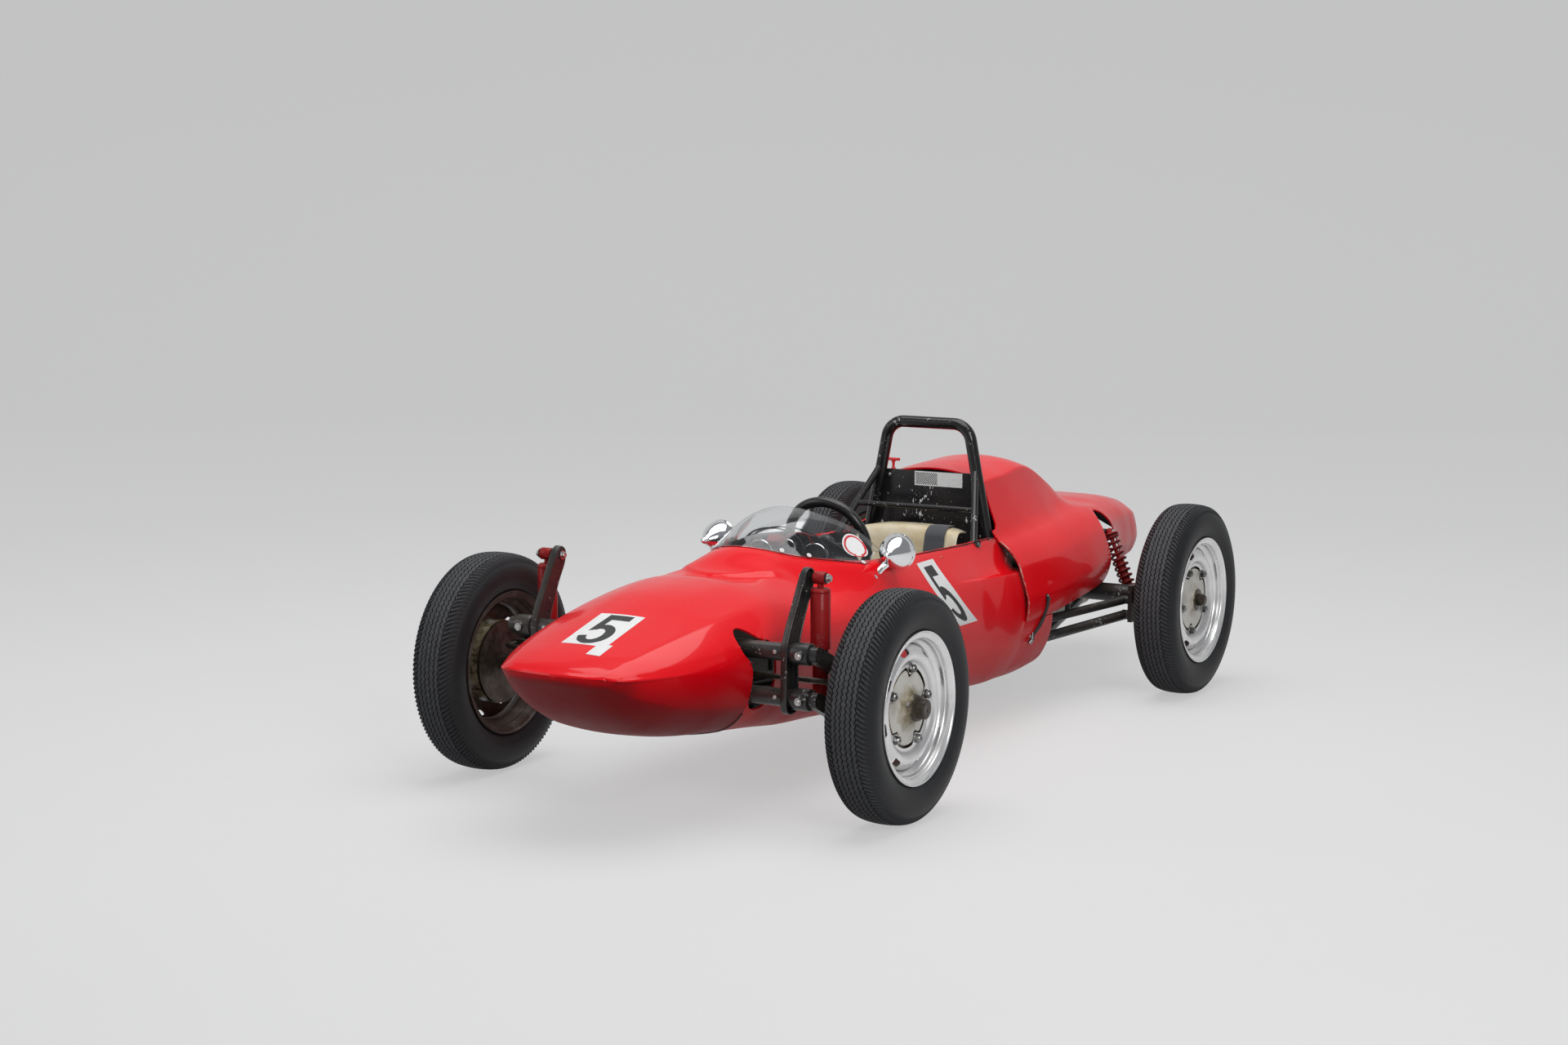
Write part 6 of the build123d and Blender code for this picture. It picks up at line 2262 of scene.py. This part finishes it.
# ---- front suspension -----------------------------------------------------------------
@dataclass
class FrontSuspension:
    """Twin-tube beam with its towers, the dark sheet behind them that stands for shade, fixings and dampers.
    """

    beam_y: float = -135.0
    tube_heights: tuple[float, float] = (455.0, 333.0)
    shock_top: tuple[float, float, float] = (440.0, -38.0, 645.0)
    shock_foot: tuple[float, float, float] = (440.0, -34.0, 300.0)

    # distance along the axis, radius
    tube_profile = [(0, 20), (0.4, 27), (2.4, 29.6), (4, 30), (48, 30), (51, 29), (52.5, 24), (887.5, 24),
                    (889, 29), (892, 30), (936, 30), (937.6, 29.6), (939.6, 27), (940, 20)]
    boss_profile = [(0, 13), (4, 13), (6, 11.6), (11.5, 11), (13, 9.5)]
    # the tower's edge as y, z: up its front, round the top and down its back
    tower_line = np.array([
        (-133, 289), (-150, 291), (-161, 299), (-166, 314), (-166, 360), (-166, 420), (-165, 452),
        (-160, 482), (-147, 512), (-110, 576), (-72, 642), (-60, 660), (-43, 671), (-25, 667), (-14, 652),
        (-16, 634), (-46, 576), (-83, 500), (-95, 464), (-99, 430), (-100, 360), (-100, 314),
        (-105, 299), (-116, 291), (-133, 289)], float)
    # the pressed channel as distance in from the edge, x from the inner face
    channel = np.array([(9, 0), (4.5, 0), (1.4, 1.2), (0, 4.8), (0, 18.6), (0.9, 20), (3.1, 20), (4, 18.6),
                        (4, 8), (5.2, 5.2), (9, 4)], float)

    def build(self) -> None:
        """Build the beam and dress both sides."""
        self.build_beam()
        self.build_bulkhead()
        for side in Side:
            self.build_bolts(side)
            self.build_shock(side)

    def tower(self, inner_x: float) -> tuple[Array, list]:
        """Pressed tower: the channel profile carried round the edge, closed by two flat webs.

        A point is the edge's point plus the profile's distance along the inward normal.

        Args:
            inner_x: Where the channel's inner face stands.

        Returns:
            Points in the frame's metres and faces.
        """
        run = travelled(self.tower_line)
        edge = through(run, self.tower_line, np.linspace(0, run[-1], 104)[:-1])
        along = unit(np.roll(edge, -1, axis=0) - np.roll(edge, 1, axis=0))
        inward = np.stack([along[:, 1], -along[:, 0]], 1)
        flat = edge[:, None] + self.channel[None, :, :1] * inward[:, None]
        x = np.broadcast_to(inner_x + self.channel[None, :, 1:], (*flat.shape[:2], 1))
        rings, rows = flat.shape[:2]
        faces = grid_faces(rings, rows, wrap_rows=True)[:, ::-1].tolist()
        start = np.arange(rings) * rows
        faces += [start.tolist(), (start + rows - 1)[::-1].tolist()]
        return row(np.concatenate([x, flat], -1)).reshape(-1, 3), faces

    def build_beam(self) -> None:
        """Two tubes with thicker ends, a boss for each set screw, and a tower on each side."""
        parts = []
        for z in self.tube_heights:
            parts.append(turned((-470, self.beam_y, z), (1, 0, 0), self.tube_profile, 48))
            for x in (-448, 448):
                parts.append(turned((x, self.beam_y - 24, z), (0, -1, 0), self.boss_profile, 24))
        points, faces = self.tower(390.0)
        parts.append((points, faces))
        parts.append((points * (-1, 1, 1), [face[::-1] for face in faces]))
        piece = add_mesh("front_beam_dress", *joined(parts), BEAM_BLACK, "chassis", "frame_black", 32.0)
        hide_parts("front_beam")

    def build_bulkhead(self) -> None:
        """Dark swaged sheet on the centre line that closes the view across the beam's opening, put there as
        painted shade of the nose's inside.

        x = 5 sin(6 pi u) cubed times the swage's fade, over y and z grids with u from 0 to 1 up z.
        It ends short of the track rod, which runs across at y = -80.
        """
        y, z = np.meshgrid(np.linspace(-225, -97, 24), np.linspace(272, 505, 60), indexing="ij")
        fade = np.clip((64 - np.abs(y + 161)) / 18, 0, 1)
        x = 5 * np.sin((z - 272) / 233 * 6 * math.pi) ** 3 * fade
        points = row(np.stack([x, y, z], -1)).reshape(-1, 3)
        # painted shade: the sheet's dark laminate stands for the shade inside the nose
        piece = add_mesh("nose_shade_sheet", points, grid_faces(*y.shape), INSIDE, "chassis", "frame_black",
                         40.0)
        thicken(piece, 2.0, 0.0)

    def build_bolts(self, side: Side) -> None:
        """Set screws in the beam's ends, hose clips and the bolts of the towers.

        Args:
            side: Side of the car.
        """
        parts = []
        for z in self.tube_heights:
            parts.append(hexagon_bolt((448, self.beam_y - 36, z), (0, -1, 0), 15, 6, 10.5))
            parts.append(hexagon_bolt((370, self.beam_y - 23.5, z + 3), (0, -1, 0.1), 8, 4, 6))
        _, y, z = self.shock_top
        parts.append(hexagon_bolt((463, y, z), (1, 0, 0), 17, 8, 13))
        parts.append(hexagon_bolt((388, y, z), (-1, 0, 0), 17, 8, 13))
        add_mesh(f"front_fixings_{side.label}", *sided(joined(parts), side), ZINC, "chassis", "chrome", 30.0)

    def build_shock(self, side: Side) -> None:
        """Damper with its dust cover and both eyes, and a rubber sleeve in the top one.

        Args:
            side: Side of the car.
        """
        top, foot = np.array(self.shock_top), np.array(self.shock_foot)
        axis = unit(foot - top)
        sleeve = lathe(np.array([(18.5, 6.2), (18.5, 11.5), (-18.5, 11.5), (-18.5, 6.2)]), top, 32, True)
        add_mesh(f"shock_sleeve_{side.label}", *sided(sleeve, side), STRAP_RUBBER, "chassis", "shock_red",
                 30.0)
        length = np.linalg.norm(foot - top)
        body = turned(top, axis, [(12, 8), (26, 8.5), (27, 21), (29, 25), (33, 27.4), (37, 27.6), (38, 26.6),
                                  (40, 26.6), (41, 27.2), (184, 27.4), (187, 28.2), (190, 28), (191, 26),
                                  (186, 25.4), (186, 21.4), (197, 21.4), (198, 22.2), (200, 22.2),
                                  (201, 21.4), (312, 21.4), (314, 22.4), (319, 22.2), (321, 19), (322, 10),
                                  (length - 8, 9)], 48)
        eyes = [turned(at - np.array((17.0, 0.0, 0.0)), (1, 0, 0),
                       [(0, r - 4), (0, r - 1), (1.2, r), (32.8, r), (34, r - 1), (34, r - 4)], 40)
                for at, r in ((top, 17), (foot, 14))]
        name = f"front_shock_{side.label}"
        piece = add_mesh(name + "_dress", *sided(joined([body, *eyes]), side), SHOCK_RED, "chassis",
                         "shock_red", 40.0)
        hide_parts(name)


# ---- rear suspension ------------------------------------------------------------------
@dataclass
class RearSuspension:
    """Red coil springs over their dampers."""

    foot: tuple[float, float, float] = (407.0, 2167.0, 314.0)
    head: tuple[float, float, float] = (310.0, 2212.0, 500.0)
    coils: float = 10.5
    coil_radius: float = 22.5
    wire: float = 4.4

    def build(self) -> None:
        """Spring, damper, seats and eyes of both sides."""
        foot, head = np.array(self.foot), np.array(self.head)
        axis = unit(head - foot)
        length = np.linalg.norm(head - foot)
        side_way = unit(np.cross(axis, (0.0, 1.0, 0.0)))
        front_way = np.cross(axis, side_way)
        turns = np.linspace(0, self.coils * 2 * math.pi, int(self.coils * 22))
        rise = np.interp(turns, [0, 4.5, turns[-1] - 4.5, turns[-1]], [0.05, 0.07, 0.93, 0.95]) * length
        path = (foot + axis * rise[:, None] + side_way * (self.coil_radius * np.cos(turns))[:, None]
                + front_way * (self.coil_radius * np.sin(turns))[:, None])
        coil = tube(path, self.wire, 10)
        for side in Side:
            name = f"coil_over_{side.label}"
            spring = add_mesh(f"spring_{side.label}", *sided(coil, side), SPRING_RED, "chassis", "shock_red",
                              60.0)
            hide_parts(name)
            stations = np.array([(-14, 7), (-8, 13), (6, 14), (9, 27), (13, 27.5), (14, 15),
                                 (length * 0.55, 15), (length * 0.56, 7), (length * 0.86, 7),
                                 (length - 14, 15), (length - 12, 27.5), (length - 8, 27), (length - 5, 13),
                                 (length + 8, 12), (length + 13, 7)])
            damper = turned(foot, axis, stations, 32)
            piece = add_mesh(f"damper_{side.label}", *sided(damper, side), SHOCK_RED, "chassis", "shock_red",
                             32.0)
            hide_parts(name)
            eyes = [hexagon_bolt(foot + (13, 0, 0), (1, 0, 0), 17, 8, 13),
                    hexagon_bolt(head + (13, 0, 0), (1, 0, 0), 15, 7, 11)]
            add_mesh(f"coil_bolts_{side.label}", *sided(joined(eyes), side), ZINC, "chassis", "chrome", 30.0)


# ---- mirrors --------------------------------------------------------------------------
@dataclass
class Mirrors:
    """Chromed bullet mirrors on flared feet."""

    centre: tuple[float, float, float] = (302.0, 652.0, 618.0)
    pointing: tuple[float, float, float] = (0.12, -1.0, -0.02)
    scale: float = 1.34

    def build(self) -> None:
        """Bullet, lip, glass, stem and foot of both sides."""
        centre, axis = np.array(self.centre), unit(np.array(self.pointing))
        # distance along the axis, radius
        shell = np.array([(-21, 1), (-21, 36.6), (-24.5, 37.2), (-24.5, 39.2), (-22.5, 40.2), (-20, 40),
                          (-17, 38.2), (-12, 38.4), (-5, 37.6), (4, 34.8), (14, 29.8), (24, 23.2),
                          (32, 16.8), (38, 11.4), (41, 9.4), (44, 8.4), (50, 6.6), (54, 3.6), (55.4, 0.4)])
        fitting = turned(centre, axis, shell * self.scale, 56)
        foot = np.array((262.0, 590.0, 551.0))
        rise = unit(centre + (0, 6, -6) - foot)
        base = np.array([(-6, 30), (0, 29), (4, 26), (9, 20), (16, 15), (26, 12), (40, 11), (60, 13),
                         (84, 16)])
        leg = turned(foot, rise, base * (1, 0.9), 40)
        for side in Side:
            name = f"mirror_{side.label}"
            piece = add_mesh(name + "_bullet", *sided(joined([fitting, leg]), side), CHROME, "chassis",
                             "chrome", 40.0)
            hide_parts(name)


# ---- cockpit --------------------------------------------------------------------------
@dataclass
class Cockpit:
    """Seat, belt and dash seen through and behind the screen."""

    def build(self) -> None:
        """Make every cockpit piece."""
        self.build_seat()
        self.build_belt()
        self.build_dash()

    def build_seat(self) -> None:
        """Moulded shell whose sides curl up.

        Along the seat the pan's (y, z) line runs from the knees back and up to the
        shoulder; across it the curl grows with the fifth power of x over its half.
        """
        line = np.array([(0.0, 850, 172), (0.18, 980, 158), (0.36, 1120, 150), (0.46, 1178, 168),
                         (0.58, 1222, 232), (0.72, 1278, 372), (0.86, 1318, 510), (0.93, 1330, 572),
                         (0.965, 1345, 590), (1.0, 1386, 592)])
        t = np.linspace(0, 1, 64)
        pan = through(line[:, 0], line[:, 1:], t)
        half = np.interp(t, [0, 0.3, 0.5, 0.8, 1.0], [176, 190, 196, 194, 176])
        s = np.linspace(-1, 1, 49)
        curl = np.abs(s) ** 5
        wing = np.interp(t, [0, 0.2, 0.42, 0.6, 0.85, 1.0], [40, 66, 120, 95, 34, -16])
        lean = np.interp(t, [0, 0.42, 0.6, 1.0], [0.0, -0.5, -0.9, -0.8])
        x = half[:, None] * (s - 0.05 * s * curl)
        y = pan[:, :1] + wing[:, None] * lean[:, None] * curl
        rise = wing[:, None] * (1 - 0.35 * np.abs(lean[:, None])) * curl
        z = pan[:, 1:] + rise + 10 * (1 - s**2) * t[:, None] ** 6
        grid = row(np.stack(np.broadcast_arrays(x, y, z), -1))
        piece = add_mesh("seat_shell", grid.reshape(-1, 3), grid_faces(*grid.shape[:2])[:, ::-1], GOLD,
                         "chassis", "seat_gold", 60.0)
        thicken(piece, 5.0, 0.0)
        rim = piece.modifiers.new("lip", "BEVEL")
        rim.width, rim.segments = 1.8 * MM, 3
        rim.limit_method, rim.angle_limit = "ANGLE", math.radians(50)
        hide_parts("seat")

    def build_belt(self) -> None:
        """Shoulder strap: a flat ribbon with rounded edges along the seat's line."""
        line = np.array([(0.0, 1392, 598), (0.05, 1350, 598), (0.09, 1328, 582), (0.14, 1320, 556),
                         (0.35, 1298, 460), (0.62, 1246, 300),
                         (0.8, 1206, 200), (0.92, 1160, 164), (1.0, 1060, 160)])
        t = np.linspace(0, 1, 90)
        middle = through(line[:, 0], line[:, 1:], t)
        ahead = unit(np.gradient(middle, axis=0))
        out = np.stack([-ahead[:, 1], ahead[:, 0]], -1) * -1
        angle = np.linspace(0, 2 * math.pi, 24, endpoint=False)
        width, height = 35.0 * np.sign(np.cos(angle)) * np.abs(np.cos(angle)) ** 0.5, 1.6 * np.sin(angle)
        x = 95 + width[None] * np.interp(t, [0, 0.3, 1], [1, 1, 0.96])[:, None]
        y = middle[:, :1] + out[:, :1] * (height + 3.5)
        z = middle[:, 1:] + out[:, 1:] * (height + 3.5)
        grid = np.stack(np.broadcast_arrays(x, y, z), -1)
        ends = grid[[0, -1]].mean(1, keepdims=True).repeat(len(angle), 1)
        grid = np.concatenate([ends[:1], grid, ends[1:]])
        piece = add_mesh("shoulder_belt", row(grid).reshape(-1, 3),
                         grid_faces(*grid.shape[:2], wrap_columns=True), BELT, "chassis", "belt_grey", 60.0)
        uv = np.stack(np.broadcast_arrays(x * MM, travelled(middle)[:, None] * MM), -1)
        uv = np.concatenate([uv[:1], uv, uv[-1:]]).reshape(-1, 2)
        layer = piece.data.uv_layers.new(name="strap")
        corner = np.empty(len(piece.data.loops), np.int32)
        piece.data.loops.foreach_get("vertex_index", corner)
        layer.data.foreach_set("uv", uv[corner].ravel())
        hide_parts("seat_belt")

    def build_dash(self) -> None:
        """Dials with their cans, the arched rims of the cowl, a red box and its cable.

        Each instrument has a bezel and a face toward the driver and a can behind the panel.
        Its marks stand on rays 30 degrees apart and its needle on the ray at 210 degrees.
        """
        rings, faces, marks = [], [], []
        for x, z, radius in ((-92, 600, 40), (92, 600, 40), (0, 622, 24), (-165, 566, 22), (165, 566, 22)):
            for toward, start in ((-1, 560.0), (1, 564.0)):
                ahead = (0, toward, 0)
                rings.append(turned((x, start, z), ahead,
                                    [(0, radius + 4), (7, radius + 4), (10, radius + 2),
                                     (10.4, radius + 0.5), (10, radius - 1), (6, radius - 2)], 48))
                faces.append(turned((x, start + toward * 6.05, z), ahead,
                                    [(0, radius - 2.3), (0.6, radius - 2.6)], 48))
            for turn in np.radians(np.arange(-60, 241, 30)):
                ray = np.array((math.cos(turn), 0.0, math.sin(turn)))
                marks.append(turned(np.array((x, 570.9, z)) + ray * radius * 0.74, ray,
                                    [(0, 0.5), (radius * 0.13, 0.5)], 6))
            ray = np.array((math.cos(3.67), 0.0, math.sin(3.67)))
            marks.append(turned((x, 571.2, z), ray, [(-4, 1.3), (0, 1.6), (radius * 0.66, 0.5)], 8))
        add_mesh("dial_bezels", *joined(rings), CHROME, "chassis", "chrome", 40.0)
        add_mesh("dial_faces", *joined(faces), DIAL, "chassis", "dash_black", 40.0)
        add_mesh("dial_marks", *joined(marks), WHITE, "chassis", "dash_black", 40.0)
        arch = np.radians(np.linspace(8, 172, 60))
        rims = []
        for y, half, top, base in ((470, 104, 690, 618), (548, 132, 684, 610)):
            height = base + (top - base) * np.sin(arch) ** 0.8
            path = np.stack([half * np.cos(arch), np.full_like(arch, y), height], -1)
            rims.append(tube(path, 2.6, 8))
        add_mesh("cowl_rims", *joined(rims), STRAP_RUBBER, "chassis", "dash_black", 50.0)
        box = segments([(-42, 520, 648), (2, 520, 648)], 44)
        body = tube(box, np.full(len(box), 17.0), 4)
        cable = tube(segments([(2, 522, 655), (40, 530, 672), (70, 545, 668), (84, 552, 640)], 6), 3.2, 10)
        add_mesh("cut_off_box", *joined([body, cable]), SHOCK_RED, "chassis", "dash_black", 40.0)


@dataclass
class SteeringWheel:
    """Thick moulded rim with three spokes and a domed hub."""

    centre: tuple[float, float, float] = (0.0, 770.0, 600.0)
    tilt: float = 15.0
    slide: float = 30.0
    radius: float = 132.0
    thickness: float = 15.5

    def build(self) -> None:
        """Rim as a ring of rings: centre + (R + r cos q)(across cos p + up sin p) + r sin q axis."""
        tilt = math.radians(self.tilt)
        axis = np.array((0.0, math.cos(tilt), math.sin(tilt)))
        across, up = np.array((1.0, 0.0, 0.0)), np.array((0.0, -math.sin(tilt), math.cos(tilt)))
        middle = np.asarray(self.centre) + axis * self.slide
        p = np.linspace(0, 2 * math.pi, 96, endpoint=False)[:, None, None]
        q = np.linspace(0, 2 * math.pi, 24, endpoint=False)[None, :, None]
        radial = across * np.cos(p) + up * np.sin(p)
        grid = (middle + (self.radius + self.thickness * np.cos(q)) * radial
                + self.thickness * np.sin(q) * axis)
        rim = (row(grid).reshape(-1, 3), grid_faces(96, 24, wrap_rows=True, wrap_columns=True))
        piece = add_mesh("steering_rim", *rim, GRIP, "steering_wheel", "grip_black", 60.0)
        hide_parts("steering_wheel")
        parts = []
        for turn in (0.0, math.pi, -math.pi / 2):
            away = across * math.cos(turn) + up * math.sin(turn)
            path = middle + away * np.array([[22.0], [60.0], [100.0], [self.radius]]) - axis * np.array(
                [[12.0], [8.0], [4.0], [0.0]])
            parts.append(tube(path, np.array([7.0, 5.5, 5.0, 6.5]), 14))
        hub = np.array([(-30, 20), (-26, 30), (-16, 32), (-8, 31), (-3, 26), (1, 16), (3, 4)])
        parts.append(turned(middle, axis, hub, 40))
        add_mesh("steering_spokes", *joined(parts), BEAM_BLACK, "steering_wheel", "grip_black", 50.0)


# ---- hoop, firewall and cover trim ----------------------------------------------------
@dataclass
class HoopTrim:
    """Strip sticker, pull knob and fixings of the firewall panel."""

    panel_y: float = 1479.0

    def build(self) -> None:
        """Sticker, knob and bolts."""
        self.build_strip()
        knob = [turned((-173, 1550, 752), (0, 0, 1), [(0, 8), (2, 8), (5, 4.4), (19, 4.6), (27, 8.2),
                                                      (30, 8.6)], 24),
                tube(segments([(-195, 1550, 783), (-151, 1550, 783)], 5), 5.0, 14)]
        add_mesh("pull_knob", *joined(knob), RING_RED, "chassis", "shock_red", 50.0)
        bolts = [hexagon_bolt((side * x, self.panel_y, z), (0, -1, 0), 9, 4, 7)
                 for side in (-1, 1) for x, z in ((150, 742), (160, 640), (180, 560), (180, 420))]
        bolts += [hexagon_bolt((side * 244, 1300, 564), (0, 0, 1), 13, 6, 10) for side in (-1, 1)]
        add_mesh("panel_bolts", *joined(bolts), ZINC, "chassis", "chrome", 30.0)

    def build_strip(self) -> None:
        """White strip; part of it is a small chequer, black where row plus column is odd."""
        x0, x1, z0, z1 = -58.0, 112.0, 712.0, 758.0
        columns, rows = 44, 12
        x, z = np.meshgrid(np.linspace(x0, x1, columns + 1), np.linspace(z0, z1, rows + 1), indexing="ij")
        grid = np.stack([x, np.full_like(x, self.panel_y - 0.8), z], -1)
        piece = add_mesh("chequer_strip", row(grid).reshape(-1, 3), grid_faces(*grid.shape[:2]), WHITE,
                         "chassis", "panel_black", None)
        i, j = np.meshgrid(np.arange(columns), np.arange(rows), indexing="ij")
        dark = ((i + j) % 2 == 1) & (i < 21) & (i > 0) & (j > 0) & (j < rows - 1)
        paint_faces(piece, NUMBER_BLACK, dark)
        thicken(piece, 0.4)


@dataclass
class CoverTrim:
    """Rubber strap, fixings and rivets, and the beads along the joints of the body."""

    strap: tuple = ((373, 1577, 366), (369, 1582, 345), (361, 1584, 322), (356, 1578, 300), (350, 1562, 276),
                    (343, 1544, 258), (338, 1530, 247))
    # place, direction
    rivets: tuple = (((350, 1357, 360), (1, 0, 0)), ((350, 1353, 305), (1, 0, -0.3)),
                     ((349, 1329, 308), (1, 0, -0.3)), ((337, 1440, 257), (1, 0, -0.5)),
                     ((333, 1428, 247), (1, 0, -0.5)), ((266, 1028, 557), (0.6, 0, 1)),
                     ((257, 1420, 560), (0.7, 0, 0.8)), ((250, 1398, 566), (0.7, 0, 0.8)))

    def build(self) -> None:
        """Make each piece once and place it on both sides."""
        share = np.linspace(0, 1, 50)
        path = through(np.linspace(0, 1, len(self.strap)), np.array(self.strap, float), share)
        band = tube(path, np.interp(share, [0, 0.08, 0.9, 1], [8.5, 6.2, 6.2, 8.0]), 12)
        edge = BodyShell().cover_rings(np.array([1450.0]))[0]
        edge = edge[(edge[:, 0] > 262) & (edge[:, 2] > 306)] - (0.0, 1.0, 0.0)
        seam = HullSkin.half_rings(np.array([NOSE_SEAM_Y]))[0]
        seam = seam[seam[:, 2] < 288] + (0.6, 0.0, -0.6)
        dome = [(-1, 3.4), (0.4, 3.4), (1.2, 2.6), (1.6, 1.2)]
        metal = [hexagon_bolt((369, 1577, 372), (1, 0, 0.2), 9, 5, 8),
                 hexagon_bolt((334, 1526, 244), (1, 0, -0.5), 14, 9, 11),
                 tube(segments([(338, 1536, 254), (345, 1522, 238), (338, 1512, 226)], 4), 6.5, 12)]
        # piece, mesh, finish, slot, smoothing angle
        pieces = (("cover_strap", band, STRAP_RUBBER, "frame_black", 50.0),
                  ("cover_edge", tube(edge, 2.4, 8), RIM_CHIPS, "body_red", 60.0),
                  ("nose_seam", tube(seam, 2.2, 8), STRAP_RUBBER, "frame_black", 60.0),
                  ("body_rivets", joined([turned(place, axis, dome, 12) for place, axis in self.rivets]),
                   OLD_RIVET, "body_red", 40.0),
                  ("body_fixings", joined(metal), LUG, "chrome", 40.0))
        for side in Side:
            for name, part, finish, slot, smooth in pieces:
                add_mesh(f"{name}_{side.label}", *sided(part, side), finish, "chassis", slot, smooth)


class FrameDress:
    """Finishes of the frame's own nodes that stay in view."""

    def build(self) -> None:
        """Give each node that no piece replaces its finish."""
        finishes = {
            "chassis_frame": BLACK, "roll_bar": HOOP_BLACK, "firewall_panel": PANEL,
            "steering_column": BLACK, "pedals": BLACK, "gear_lever": BLACK, "track_rod": OILY,
            "engine_block": ALLOY, "transaxle": ALLOY, "exhaust": PIPE, "dash_panel": DIAL,
        }
        for side in Side:
            finishes.update({f"front_arms_{side.label}": BEAM_BLACK, f"rear_arms_{side.label}": BLACK,
                             f"axle_tube_{side.label}": BLACK, f"knuckle_{side.label}": OILY})
        for name, finish in finishes.items():
            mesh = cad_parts[name].data
            mesh.materials.clear()
            mesh.materials.append(finish.material())


def main() -> None:
    """Build the car's sub-assemblies in order and report each one."""
    logging.basicConfig(level=logging.INFO, format="%(name)s: %(message)s")
    FrameDress().build()
    for assembly in (BodyShell(), Windscreen(), NumberPatches(), Wheels(), FrontSuspension(),
                     RearSuspension(), Mirrors(), Cockpit(), SteeringWheel(), HoopTrim(), CoverTrim(),
                     Studio()):
        assembly.build()
        LOG.info("built %s", type(assembly).__name__)


if __name__ == "__main__":
    main()
